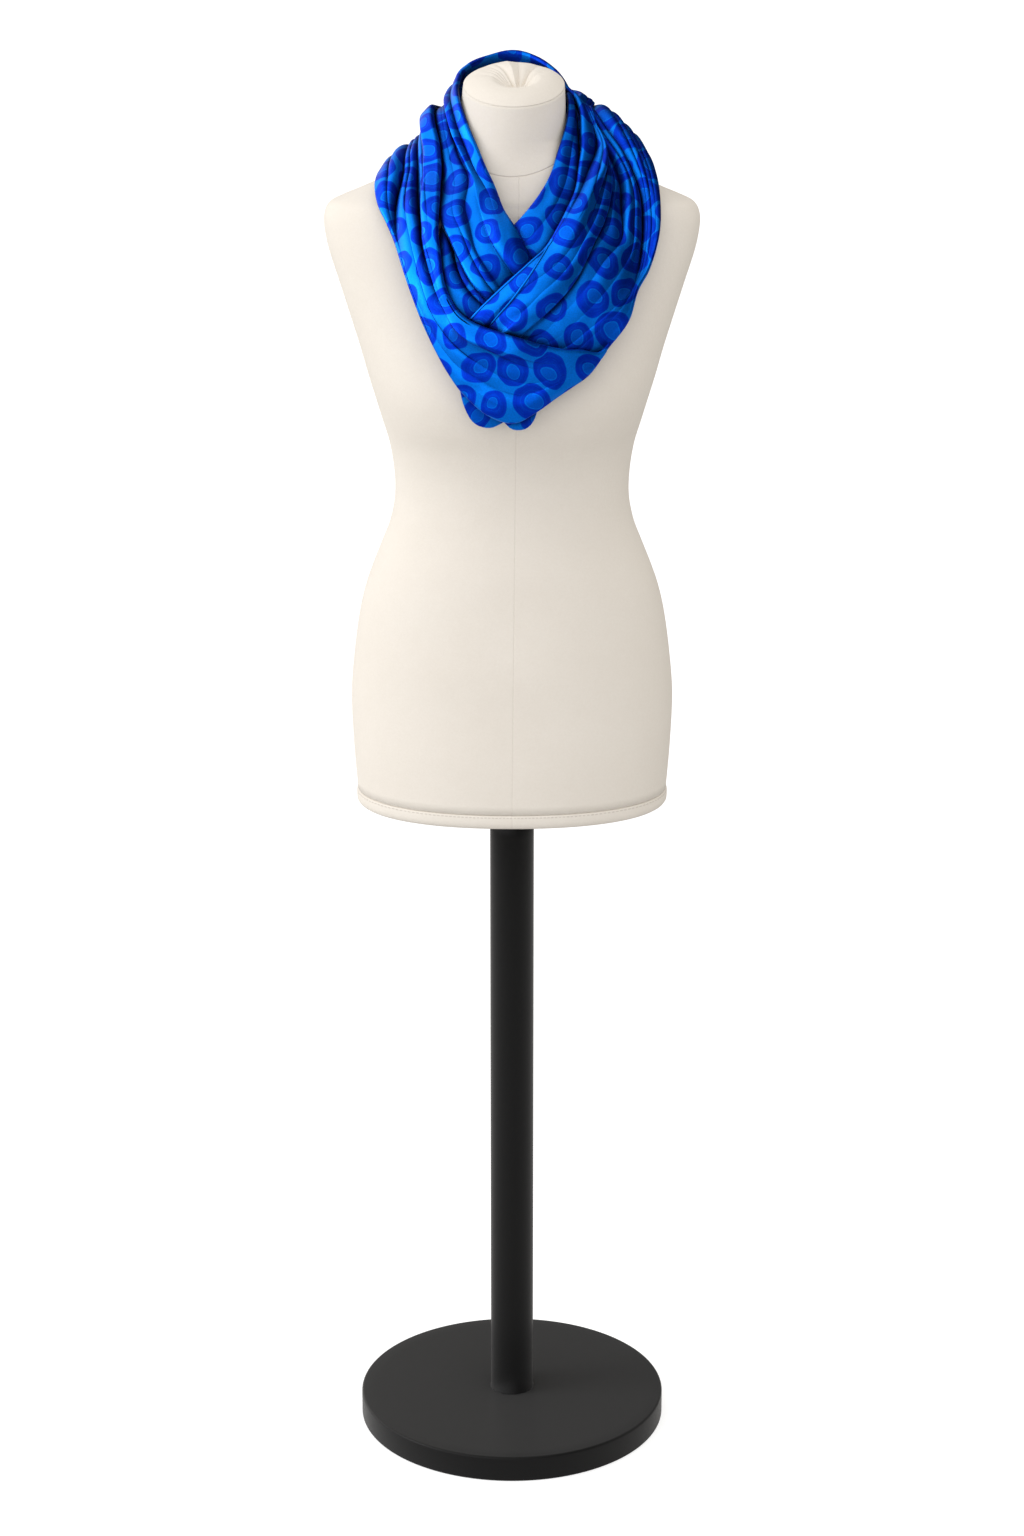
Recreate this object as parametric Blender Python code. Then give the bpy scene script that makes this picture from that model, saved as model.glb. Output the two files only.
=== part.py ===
"""Tube scarf wound twice round the neck of a limbless dress form on a pole stand.

Frame: metres, +Z up, front of the form towards -Y, origin under the middle of the base.
Tables are in millimetres and are turned to metres when each mesh is made.
"""
from collections import namedtuple
from math import cos, pi, radians, sin, tan

import bpy
import bmesh
import numpy as np
from mathutils.bvhtree import BVHTree

# ---------------------------------------------------------------- driving sizes, mm
MM = 0.001
SEAM_GAP = 0.4             # least space between neighbouring pieces
CLOTH_WALL = 1.6           # two plies of satin with the air between them
EDGE_ROLL = 3.0            # radius of a stretch's folded edge
EDGE_FLAP = 9.0            # cloth that turns back under a folded edge

BASE_RADIUS = 170.5
BASE_THICKNESS = 29.0
BASE_EDGE = 3.0
POLE_RADIUS = 23.75
HEM_BOTTOM = 727.0         # underside of the torso
HEM_HEIGHT = 16.0
HEM_PROUD = 0.8            # folded hem stands out from the cover
TORSO_SIDES = 36

NECK_CENTRE_Y = 3.0
NECK_HALF_WIDTH = 51.5
NECK_HALF_DEPTH = 50.0
NECK_TOP_FRONT_Z = 1463.0
NECK_TOP_TILT = radians(20)
CAP_DOME = 11.0            # rise of the gathered cap over its seam
CAP_PINCH = 7.0            # dip where the gathers meet
CAP_PINCH_X = 6.0

# ---------------------------------------------------------------- the dress form
Ring = namedtuple("Ring", "z half_width middle_y front_y back_y squareness")
TORSO_RINGS = (
    Ring(743.3, 165.5, 2, -114, 120, 2.2),
    Ring(790, 169, 2, -113, 122, 2.2),
    Ring(846, 171, 3, -109, 125, 2.2),
    Ring(890, 167.5, 4, -106, 125, 2.2),
    Ring(930, 162, 4, -101, 120, 2.2),
    Ring(960, 155.5, 4, -97, 114, 2.2),
    Ring(985, 147, 4, -94, 108, 2.15),
    Ring(1010, 137, 4, -90, 101, 2.1),
    Ring(1035, 127.5, 3, -87, 95, 2.1),
    Ring(1062, 122.5, 2, -86, 90, 2.1),
    Ring(1090, 123.2, 0, -89, 88, 2.1),
    Ring(1118, 127.5, -2, -99, 88, 2.15),
    Ring(1143, 134.5, -4, -113, 90, 2.25),
    Ring(1168, 141.8, -5, -122, 94, 2.3),
    Ring(1190, 148.5, -4, -123, 97, 2.3),
    Ring(1218, 156.5, -2, -117, 100, 2.3),
    Ring(1248, 166, 1, -107, 103, 2.3),
    Ring(1285, 178, 5, -94, 106, 2.3),
    Ring(1318, 188.5, 8, -81, 106, 2.3),
    Ring(1343, 193, 11, -70, 104, 2.3),
    Ring(1356, 191.5, 13, -64, 101, 2.3),
    Ring(1364, 186, 14, -60, 98, 2.3),
    Ring(1370, 174, 15, -58, 95, 2.2),
    Ring(1377, 157, 15, -55, 92, 2.1),
    Ring(1385, 138, 15, -52, 88, 2.0),
    Ring(1395, 112, 14, -49, 82, 2.0),
    Ring(1405, 87, 12, -47, 76, 2.0),
    Ring(1416, 67, 10, -46, 69, 2.0),
    Ring(1428, 56, 7, -46, 62, 2.0),
)
NECK_STEPS = 3             # rings from the last level one to the tilted top

# ---------------------------------------------------------------- the scarf
# A row for each section across the cloth. inner is the edge towards the neck, outer
# the edge away from it, crown how far the cloth arches out between them.
Section = namedtuple("Section", "inner outer crown")

# Outer winding: from inside the pouch up over the right shoulder, round the back, down
# the left shoulder and across the front as the pouch.
OUTER_LOOP = (
    Section((-32, -126, 1262), (18, -131, 1200), 2),
    Section((8, -132, 1256), (66, -126, 1217), 4),
    Section((33, -129, 1274), (94, -122, 1242), 6),
    Section((57, -119, 1298), (115, -118, 1262), 7),
    Section((74, -102, 1328), (126, -106, 1288), 7),
    Section((88, -80, 1354), (139, -92, 1310), 7),
    Section((95, -58, 1377), (148, -74, 1338), 7),
    Section((96, -38, 1396), (150, -52, 1366), 8),
    Section((91, -20, 1417), (148, -27, 1392), 12),
    Section((80, -3, 1442), (142, 0, 1411), 16),
    Section((69, 17, 1465), (134, 28, 1415), 17),
    Section((60, 40, 1473), (120, 62, 1408), 14),
    Section((45, 66, 1472), (93, 94, 1386), 11),
    Section((23, 84, 1462), (48, 117, 1360), 9),
    Section((-4, 90, 1452), (-6, 124, 1348), 8),
    Section((-31, 83, 1452), (-58, 113, 1356), 7),
    Section((-55, 62, 1456), (-98, 85, 1376), 5),
    Section((-68, 36, 1462), (-124, 47, 1394), 5),
    Section((-72, 12, 1462), (-135, 9, 1397), 4),
    Section((-71, -9, 1449), (-138, -20, 1393), 4),
    Section((-67, -28, 1429), (-139, -38, 1383), 4),
    Section((-65, -47, 1406), (-135, -54, 1369), 6),
    Section((-65, -67, 1384), (-127, -70, 1353), 7),
    Section((-67, -87, 1361), (-119, -85, 1336), 6),
    Section((-69, -104, 1336), (-110, -103, 1313), 5),
    Section((-68, -119, 1311), (-100, -119, 1286), 5),
    Section((-63, -129, 1290), (-88, -131, 1257), 5),
    Section((-52, -136, 1274), (-74, -139, 1229), 5),
    Section((-36, -142, 1263), (-60, -144, 1206), 5),
    Section((-14, -146, 1255), (-47, -147, 1190), 5),
    Section((8, -149, 1248), (-24, -149, 1171), 5),
    Section((29, -149, 1241), (2, -149, 1163), 5),
    Section((50, -147, 1236), (26, -148, 1175), 4),
    Section((70, -142, 1234), (48, -145, 1190), 3),
    Section((87, -135, 1237), (73, -139, 1209), 2),
    Section((98, -127, 1244), (91, -130, 1232), 1),
)

# Inner winding: from under the crossing up the left of the neck, round behind it as a
# collar, down the right and across the front over its own start.
INNER_LOOP = (
    Section((30, -106, 1302), (-20, -118, 1280), 3),
    Section((16, -101, 1325), (-36, -117, 1299), 5),
    Section((3, -92, 1351), (-50, -109, 1320), 6),
    Section((-8, -80, 1368), (-59, -96, 1341), 6),
    Section((-18, -66, 1384), (-61, -82, 1361), 6),
    Section((-28, -50, 1404), (-60, -64, 1386), 5),
    Section((-39, -29, 1427), (-62, -40, 1411), 4),
    Section((-48, -10, 1448), (-67, -18, 1436), 3),
    Section((-52, 7, 1470), (-69, 5, 1459), 2),
    Section((-52, 27, 1488), (-69, 32, 1462), 2),
    Section((-43, 48, 1501), (-59, 58, 1458), 2),
    Section((-24, 63, 1508), (-35, 76, 1454), 2),
    Section((1, 69, 1512), (1, 82, 1451), 2),
    Section((25, 63, 1508), (37, 75, 1454), 2),
    Section((44, 47, 1500), (60, 56, 1458), 2),
    Section((55, 26, 1487), (71, 30, 1463), 2),
    Section((58, 7, 1470), (75, 5, 1458), 2),
    Section((58, -10, 1450), (81, -11, 1441), 3),
    Section((58, -28, 1427), (94, -28, 1418), 4),
    Section((59, -46, 1407), (100, -46, 1397), 5),
    Section((57, -64, 1388), (98, -66, 1377), 6),
    Section((52, -81, 1371), (92, -86, 1356), 6),
    Section((45, -97, 1353), (82, -104, 1337), 6),
    Section((34, -111, 1334), (71, -119, 1315), 6),
    Section((18, -122, 1320), (59, -130, 1296), 6),
    Section((0, -130, 1305), (47, -136, 1283), 6),
    Section((-18, -135, 1289), (34, -140, 1271), 5),
    Section((-36, -137, 1271), (19, -142, 1259), 4),
    Section((-50, -134, 1252), (2, -139, 1242), 2),
)

# Innermost pleat on the right, which dives under the left stretch at the throat.
THROAT_STRIP = (
    Section((53, 14, 1474), (63, 14, 1468), 0),
    Section((54, -1, 1462), (66, -2, 1455), 1),
    Section((52, -18, 1442), (68, -20, 1432), 2),
    Section((45, -38, 1417), (69, -42, 1406), 3),
    Section((38, -56, 1397), (67, -62, 1383), 3),
    Section((25, -75, 1377), (59, -81, 1360), 4),
    Section((7, -90, 1357), (43, -98, 1338), 4),
    Section((-14, -97, 1338), (20, -105, 1314), 3),
)

# Fold of the inner winding that shows between the left stretch and the pouch's rim.
POUCH_LINING = (
    Section((-46, -80, 1362), (-70, -78, 1360), 2),
    Section((-46, -92, 1342), (-73, -93, 1338), 3),
    Section((-42, -103, 1322), (-74, -108, 1314), 4),
    Section((-32, -112, 1304), (-68, -119, 1292), 4),
    Section((-16, -119, 1290), (-54, -127, 1272), 3),
    Section((4, -122, 1280), (-36, -130, 1257), 2),
)

# Rounded fold ends that hang out under the pouch.
LEFT_TIP = (
    Section((-42, -136, 1212), (-53, -137, 1199), 0),
    Section((-34, -137, 1203), (-48, -138, 1178), 1),
    Section((-27, -137, 1197), (-38, -138, 1161), 2),
    Section((-18, -137, 1194), (-22, -138, 1156), 2),
    Section((-10, -137, 1194), (-6, -138, 1163), 1),
)
RIGHT_TIP = (
    Section((-14, -141, 1192), (-10, -142, 1166), 1),
    Section((-4, -141, 1190), (0, -142, 1156), 2),
    Section((6, -141, 1191), (13, -142, 1156), 2),
    Section((14, -141, 1194), (22, -142, 1165), 1),
    Section((19, -140, 1200), (27, -141, 1181), 0),
)

# A row for each fold: its valley's course as (station, fraction across, depth), and how
# far the cloth falls away to it on its inner and outer side. A small number is steep.
Fold = namedtuple("Fold", "course inner_side outer_side")
OUTER_FOLDS = (
    Fold(((0, .25, 0), (3, .27, 1), (5, .40, 4), (6, .30, 10), (7, .24, 11), (8, .18, 8), (9, .10, 5),
          (11, .12, 6), (14, .20, 9), (17, .20, 5), (19, .20, 2), (22, .20, 2), (24, .16, 1),
          (26, .05, 0), (35, .05, 0)), 11, 4),
    Fold(((0, .50, 0), (3, .72, 2), (4, .90, 3), (5, .83, 9), (6, .74, 12), (7, .66, 12), (8, .50, 12),
          (9, .33, 12), (10, .24, 11), (12, .36, 10), (14, .46, 11), (16, .42, 9), (18, .42, 10),
          (20, .44, 12), (22, .47, 12), (24, .42, 10), (25, .28, 8), (26, .14, 4), (27, .14, 0),
          (35, .3, 0)), 12, 5),
    Fold(((0, .75, 0), (4, .96, 0), (5, .93, 3), (6, .88, 4), (8, .76, 6), (10, .58, 6), (12, .66, 7),
          (14, .74, 9), (16, .68, 8), (18, .58, 9), (20, .64, 12), (21, .76, 12), (22, .86, 9),
          (23, .93, 5), (24, .95, 0), (29, .70, 2), (30, .66, 2), (32, .6, 0), (35, .6, 0)), 10, 5),
)
INNER_FOLDS = (
    Fold(((0, .2, 0), (4, .15, 2), (5, .20, 5), (6, .24, 6), (8, .26, 5), (12, .30, 4), (16, .40, 4),
          (17, .60, 6), (18, .44, 8), (19, .24, 8), (20, .14, 6), (21, .10, 3), (22, .10, 0),
          (28, .2, 0)), 8, 4),
    Fold(((0, .70, 3), (2, .72, 3), (4, .6, 2), (5, .42, 4), (6, .54, 6), (8, .62, 5), (12, .66, 5),
          (16, .78, 3), (17, .86, 1), (20, .70, 1), (22, .60, 2), (25, .34, 3), (28, .4, 2)), 7, 5),
)
STRIP_FOLDS = (Fold(((0, .5, 0), (3, .55, 2), (7, .5, 1)), 7, 7),)
LINING_FOLDS = (Fold(((0, .5, 2), (2, .45, 5), (5, .5, 2)), 6, 4),)

# A row for each stretch that shows: which winding it is part of, from which station to
# which, and the pieces that it lies on.
Stretch = namedtuple("Stretch", "node sections folds first last over")
STRETCHES = (
    Stretch("scarf_throat_strip", THROAT_STRIP, STRIP_FOLDS, 0, 7, ("form_torso",)),
    Stretch("scarf_pouch_lining", POUCH_LINING, LINING_FOLDS, 0, 5, ("form_torso",)),
    Stretch("scarf_inner_left", INNER_LOOP, INNER_FOLDS, 0, 9,
            ("form_torso", "form_neck_cap", "scarf_throat_strip", "scarf_pouch_lining")),
    Stretch("scarf_collar_back", INNER_LOOP, INNER_FOLDS, 9, 15, ("form_torso", "form_neck_cap")),
    Stretch("scarf_outer_right", OUTER_LOOP, OUTER_FOLDS, 0, 10,
            ("form_torso", "scarf_throat_strip", "scarf_pouch_lining", "scarf_inner_left")),
    Stretch("scarf_front_cross", INNER_LOOP, INNER_FOLDS, 15, 28,
            ("form_torso", "form_neck_cap", "scarf_throat_strip", "scarf_pouch_lining",
             "scarf_inner_left", "scarf_outer_right")),
    Stretch("scarf_outer_back", OUTER_LOOP, OUTER_FOLDS, 10, 18,
            ("form_torso", "scarf_inner_left", "scarf_collar_back", "scarf_front_cross")),
    Stretch("scarf_tip_left", LEFT_TIP, (), 0, 4, ("form_torso", "scarf_outer_right")),
    Stretch("scarf_tip_right", RIGHT_TIP, (), 0, 4,
            ("form_torso", "scarf_outer_right", "scarf_tip_left")),
    Stretch("scarf_outer_left", OUTER_LOOP, OUTER_FOLDS, 18, 25,
            ("form_torso", "scarf_pouch_lining", "scarf_inner_left")),
    Stretch("scarf_pouch", OUTER_LOOP, OUTER_FOLDS, 25, 35,
            ("form_torso", "scarf_pouch_lining", "scarf_inner_left", "scarf_outer_right",
             "scarf_front_cross", "scarf_tip_left", "scarf_tip_right")),
)
ROWS_PER_STATION = 1.6
COLUMNS_PER_PLEAT = 3
ROLL_ANGLES = (radians(75), radians(180))
JOINT_TRIM = 0.03          # of a station, left open where two stretches of a winding meet

# How a stretch is laid over what is under it.
RAY_START = 150.0          # the search for what lies below starts this far out
RAY_PAST = 60.0            # and reaches this far behind the cloth
STEEPEST_SLOPE = 0.45      # cosine that limits the extra clearance on a steep slope
RELAX_PASSES = 25
LIFT_STEP = 0.4
LIFT_TRIES = 40

# ---------------------------------------------------------------- materials
Finish = namedtuple("Finish", "color roughness metallic")
FINISHES = {
    "scarf": Finish((0.0, 0.16, 0.78, 1), 0.42, 0),
    "form": Finish((0.80, 0.77, 0.70, 1), 0.85, 0),
    "stand": Finish((0.012, 0.012, 0.013, 1), 0.5, 0),
}


def clear_scene():
    """Remove whatever the new file holds."""
    for old in list(bpy.data.objects):
        bpy.data.objects.remove(old, do_unlink=True)


def make_materials():
    """One plain material for the cloth, the form and the stand."""
    made = {}
    for name, finish in FINISHES.items():
        material = bpy.data.materials.new(name)
        material.use_nodes = True
        shader = material.node_tree.nodes["Principled BSDF"]
        shader.inputs["Base Color"].default_value = finish.color
        shader.inputs["Roughness"].default_value = finish.roughness
        shader.inputs["Metallic"].default_value = finish.metallic
        made[name] = material
    return made


def spline(rows, places):
    """Values at fractional places of a curve through equally spaced rows (Catmull-Rom)."""
    rows = np.asarray(rows, float)
    padded = np.vstack([2 * rows[0] - rows[1], rows, 2 * rows[-1] - rows[-2]])
    start = np.clip(np.floor(places).astype(int), 0, len(rows) - 2)
    t = (np.asarray(places) - start)[:, None]
    before, here, after, beyond = (padded[start + k] for k in range(4))
    return 0.5 * (2 * here + (after - before) * t
                  + (2 * before - 5 * here + 4 * after - beyond) * t ** 2
                  + (3 * here - before - 3 * after + beyond) * t ** 3)


def ease(value, low, high):
    """0 below low, 1 above high, smooth between."""
    t = np.clip((value - low) / (high - low), 0, 1)
    return t * t * (3 - 2 * t)


def unit(vectors):
    """Vectors scaled to length 1."""
    return vectors / np.maximum(np.linalg.norm(vectors, axis=-1, keepdims=True), 1e-9)


def outward(points):
    """Direction away from the body: level round the neck and chest, rising on the shoulders."""
    around = points - np.array([0, 10, 0])
    around[..., 2] = 0
    level = unit(around)
    sideways = np.abs(level[..., 0])
    rise = 0.9 * sideways * ease(np.abs(points[..., 0]), 60, 125) * ease(points[..., 2], 1300, 1380)
    level[..., 2] = rise
    return unit(level)


# ---------------------------------------------------------------- closed meshes
def grid_triangles(rows, columns, first=0, around=False):
    """Triangles over a grid of points, closed on itself across when around is set."""
    triangles = []
    for r in range(rows - 1):
        for c in range(columns if around else columns - 1):
            nxt = (c + 1) % columns
            a = first + r * columns + c
            b = first + r * columns + nxt
            d = first + (r + 1) * columns + c
            e = first + (r + 1) * columns + nxt
            triangles += [(a, b, e), (a, e, d)]
    return triangles


def wall(grid, thickness):
    """Points and triangles of a closed wall whose middle surface is the grid."""
    rows, columns, _ = grid.shape
    along = np.gradient(grid, axis=0)
    across = np.gradient(grid, axis=1)
    normal = unit(np.cross(along, across))
    middle = normal[:, columns // 2]
    if np.sum(middle * outward(grid[:, columns // 2])) < 0:
        normal = -normal
    outer = (grid + normal * thickness / 2).reshape(-1, 3)
    inner = (grid - normal * thickness / 2).reshape(-1, 3)
    count = rows * columns
    triangles = grid_triangles(rows, columns)
    triangles += [(count + a, count + c, count + b) for a, b, c in grid_triangles(rows, columns)]
    rim = list(range(columns))
    rim += [r * columns + columns - 1 for r in range(1, rows)]
    rim += [(rows - 1) * columns + c for c in range(columns - 2, -1, -1)]
    rim += [r * columns for r in range(rows - 2, 0, -1)]
    for a, b in zip(rim, rim[1:] + rim[:1]):
        triangles += [(a, count + a, count + b), (a, count + b, b)]
    return np.vstack([outer, inner]), triangles


def stacked_rings(rings):
    """Points and triangles of a solid through closed rings, with a point closing each end."""
    rings = np.asarray(rings, float)
    count, sides, _ = rings.shape
    points = rings.reshape(-1, 3)
    triangles = grid_triangles(count, sides, around=True)
    ends = np.array([rings[0].mean(axis=0), rings[-1].mean(axis=0)])
    bottom, top = count * sides, count * sides + 1
    for c in range(sides):
        nxt = (c + 1) % sides
        triangles.append((bottom, nxt, c))
        last = (count - 1) * sides
        triangles.append((top, last + c, last + nxt))
    return np.vstack([points, ends]), triangles


def make_object(name, points, triangles, material):
    """A smooth-shaded object from points in millimetres."""
    mesh = bpy.data.meshes.new(name)
    mesh.from_pydata([tuple(p) for p in points * MM], [], triangles)
    shape = bmesh.new()
    shape.from_mesh(mesh)
    bmesh.ops.recalc_face_normals(shape, faces=shape.faces)
    shape.to_mesh(mesh)
    shape.free()
    mesh.shade_smooth()
    mesh.set_sharp_from_angle(angle=radians(50))
    mesh.materials.append(material)
    obj = bpy.data.objects.new(name, mesh)
    bpy.context.scene.collection.objects.link(obj)
    return obj


# ---------------------------------------------------------------- dress form and stand
def form_ring(ring, grow=0.0):
    """One level section of the torso, fuller than an ellipse by its squareness."""
    points = []
    for side in range(TORSO_SIDES):
        turn = 2 * pi * side / TORSO_SIDES
        wide = abs(cos(turn)) ** (2 / ring.squareness) * (1 if cos(turn) >= 0 else -1)
        deep = abs(sin(turn)) ** (2 / ring.squareness)
        reach = (ring.back_y if sin(turn) >= 0 else ring.front_y) - ring.middle_y
        reach += grow if reach > 0 else -grow
        points.append(((ring.half_width + grow) * wide, ring.middle_y + reach * deep, ring.z))
    return points


def neck_ring(share, radius_scale=1.0, lift=0.0):
    """Ring of the neck, from level (share 0) to the tilted top (share 1)."""
    last = TORSO_RINGS[-1]
    base = np.array(form_ring(last))
    top = []
    for side in range(TORSO_SIDES):
        turn = 2 * pi * side / TORSO_SIDES
        x = NECK_HALF_WIDTH * radius_scale * cos(turn)
        y = NECK_CENTRE_Y + NECK_HALF_DEPTH * radius_scale * sin(turn)
        z = neck_top_z(y) + lift
        top.append((x, y, z))
    return base * (1 - share) + np.array(top) * share


def neck_top_z(y):
    """Height of the neck's tilted top at a depth y."""
    return NECK_TOP_FRONT_Z + (y - NECK_CENTRE_Y + NECK_HALF_DEPTH) * tan(NECK_TOP_TILT)


def torso():
    """Padded torso with its neck up to the seam of the gathered cap."""
    rings = [form_ring(ring) for ring in TORSO_RINGS]
    rings += [neck_ring(step / NECK_STEPS) for step in range(1, NECK_STEPS + 1)]
    return stacked_rings(rings)


def neck_cap():
    """Low dome over the neck, dipping where its gathers are pinched together."""
    scales = (1.0, 0.97, 0.86, 0.66, 0.42, 0.2, 0.07)
    rings = [neck_ring(1, 0.98, SEAM_GAP)]
    for scale in scales:
        rise = CAP_DOME * (1 - scale ** 3.2) - CAP_PINCH * (1 - ease(scale, 0.0, 0.5))
        ring = neck_ring(1, scale, SEAM_GAP + 2 + rise)
        ring[:, 0] += CAP_PINCH_X * (1 - scale)
        rings.append(ring)
    return stacked_rings(rings)


def hem_band():
    """Folded hem round the bottom of the cover, with the board that closes the torso."""
    first = TORSO_RINGS[0]
    top = first.z - SEAM_GAP
    profile = (
        (HEM_BOTTOM, -6.0),
        (HEM_BOTTOM + 1.5, -1.5),
        (HEM_BOTTOM + 5, HEM_PROUD),
        (HEM_BOTTOM + HEM_HEIGHT - 3, HEM_PROUD),
        (top, -1.0),
    )
    return stacked_rings([form_ring(first._replace(z=z), grow) for z, grow in profile])


def turned(profile, sides):
    """Solid of revolution round Z through (radius, z) rows."""
    turns = [2 * pi * side / sides for side in range(sides)]
    return stacked_rings([[(r * cos(t), r * sin(t), z) for t in turns] for r, z in profile])


def base_plate():
    """Round weighted base with eased edges."""
    corner = BASE_EDGE * (1 - cos(pi / 4))
    profile = (
        (BASE_RADIUS - BASE_EDGE, 0),
        (BASE_RADIUS - corner, corner),
        (BASE_RADIUS, BASE_EDGE),
        (BASE_RADIUS, BASE_THICKNESS - BASE_EDGE),
        (BASE_RADIUS - corner, BASE_THICKNESS - corner),
        (BASE_RADIUS - BASE_EDGE, BASE_THICKNESS),
    )
    return turned(profile, 64)


def pole():
    """Straight tube from the base to the underside of the torso."""
    foot = BASE_THICKNESS + SEAM_GAP
    head = HEM_BOTTOM - SEAM_GAP
    return turned(((POLE_RADIUS, foot), (POLE_RADIUS, head)), 36)


# ---------------------------------------------------------------- scarf
def stretch_grid(stretch):
    """Middle surface of one stretch: rows along it, columns over its pleats and edges."""
    first = stretch.first + (JOINT_TRIM if stretch.first > 0 else 0)
    last_station = len(stretch.sections) - 1
    last = stretch.last - (JOINT_TRIM if stretch.last < last_station else 0)
    row_count = round((stretch.last - stretch.first) * ROWS_PER_STATION) + 1
    places = np.linspace(first, last, row_count)
    inner = spline([s.inner for s in stretch.sections], places)
    outer = spline([s.outer for s in stretch.sections], places)
    crown = spline([[s.crown] for s in stretch.sections], places)[:, 0]
    width = np.linalg.norm(outer - inner, axis=1)
    across_unit = unit(outer - inner)
    out = outward((inner + outer) / 2)
    normal = unit(out - np.sum(out * across_unit, axis=1, keepdims=True) * across_unit)

    stations = np.arange(last_station + 1)
    tracks = []
    for fold in stretch.folds:
        at, across, depth = np.array(fold.course, float).T
        table = np.column_stack([np.interp(stations, at, across), np.interp(stations, at, depth)])
        tracks.append(spline(table, places))

    edge = EDGE_ROLL / width
    bounds = [edge] + [track[:, 0] for track in tracks] + [1 - edge]
    columns = []
    for low, high in zip(bounds, bounds[1:]):
        steps = np.arange(COLUMNS_PER_PLEAT) / COLUMNS_PER_PLEAT
        columns += [low + (high - low) * step for step in steps]
    columns.append(bounds[-1])

    def height(across):
        rise = crown * (1 - (2 * across - 1) ** 2)
        for fold, track in zip(stretch.folds, tracks):
            apart = (across - track[:, 0]) * width
            reach = np.where(apart < 0, fold.inner_side, fold.outer_side)
            rise = rise - track[:, 1] * np.exp(-np.abs(apart) / reach)
        return rise

    def place(distance, rise):
        return inner + across_unit * distance[:, None] + normal * rise[:, None]

    line = []
    flap = np.minimum(EDGE_FLAP, width * 0.3)
    start, end = height(bounds[0]), height(bounds[-1])
    for turn in reversed(ROLL_ANGLES):
        line.append(place(EDGE_ROLL - EDGE_ROLL * np.full_like(width, sin(turn)),
                          start - EDGE_ROLL * (1 - cos(turn))))
    line.insert(0, place(EDGE_ROLL + flap, start - 2 * EDGE_ROLL))
    line += [place(across * width, height(across)) for across in columns]
    for turn in ROLL_ANGLES:
        line.append(place(width - EDGE_ROLL + EDGE_ROLL * sin(turn),
                          end - EDGE_ROLL * (1 - cos(turn))))
    line.append(place(width - EDGE_ROLL - flap, end - 2 * EDGE_ROLL))
    return np.stack(line, axis=1)


def relax(needed, passes):
    """Spread a lift over its neighbours without letting it fall below what is needed."""
    lift = needed.copy()
    for _ in range(passes):
        padded = np.pad(lift, 1, mode="edge")
        mean = (padded[:-2, 1:-1] + padded[2:, 1:-1] + padded[1:-1, :-2] + padded[1:-1, 2:]) / 4
        lift = np.maximum(needed, 0.97 * mean)
    return lift


def search_tree(solids):
    """One tree of triangles for (points, triangles) solids."""
    points = np.vstack([solid[0] for solid in solids])
    triangles = []
    start = 0
    for solid_points, solid_triangles in solids:
        triangles += [tuple(start + corner for corner in face) for face in solid_triangles]
        start += len(solid_points)
    return BVHTree.FromPolygons([tuple(p) for p in points], triangles)


def lift_to_clear(grid, out, below):
    """How far each point has to move out to stand clear above the first surface it meets."""
    clear = CLOTH_WALL / 2 + SEAM_GAP
    needed = np.zeros(grid.shape[:2])
    for r, c in np.ndindex(*needed.shape):
        way = out[r, c]
        origin = grid[r, c] + way * RAY_START
        hit, normal, _, distance = below.ray_cast(tuple(origin), tuple(-way), RAY_START + RAY_PAST)
        if hit is not None:
            slope = max(abs(float(np.dot(normal, way))), STEEPEST_SLOPE)
            needed[r, c] = max(0.0, RAY_START - distance + clear / slope)
    edge_columns = len(ROLL_ANGLES) + 2
    for edge in (needed[:, :edge_columns], needed[:, -edge_columns:]):
        edge[:] = edge.max(axis=1, keepdims=True)
    return needed


def lay_over(grid, solids):
    """Lift a stretch outwards until its wall clears the solids that it lies on."""
    below = search_tree(solids)
    out = outward(grid)
    columns = grid.shape[1]
    needed = lift_to_clear(grid, out, below)
    for _ in range(LIFT_TRIES):
        lift = relax(needed, RELAX_PASSES)
        lifted = grid + out * lift[..., None]
        fat_points, fat_triangles = wall(lifted, CLOTH_WALL + 2 * SEAM_GAP)
        touching = {pair[0] for pair in search_tree([(fat_points, fat_triangles)]).overlap(below)}
        if not touching:
            break
        for corner in {corner % lift.size for face in touching for corner in fat_triangles[face]}:
            place = divmod(corner, columns)
            needed[place] = lift[place] + LIFT_STEP
    return lifted


def build():
    """Make every piece, the lowest layer of cloth first."""
    clear_scene()
    materials = make_materials()
    solids = {
        "stand_base": base_plate(),
        "stand_pole": pole(),
        "form_hem_band": hem_band(),
        "form_torso": torso(),
        "form_neck_cap": neck_cap(),
    }
    for stretch in STRETCHES:
        grid = lay_over(stretch_grid(stretch), [solids[name] for name in stretch.over])
        solids[stretch.node] = wall(grid, CLOTH_WALL)
    for name, (points, triangles) in solids.items():
        make_object(name, points, triangles, materials[name.split("_")[0]])


build()
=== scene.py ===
"""Looks of the tube scarf on its dress form: draped cloth, ring print, cover and stand."""
from collections import namedtuple
from math import cos, pi, radians, sin, tan

import bmesh
import bpy
import numpy as np
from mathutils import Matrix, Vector
from mathutils.bvhtree import BVHTree
from numpy.linalg import norm


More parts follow.
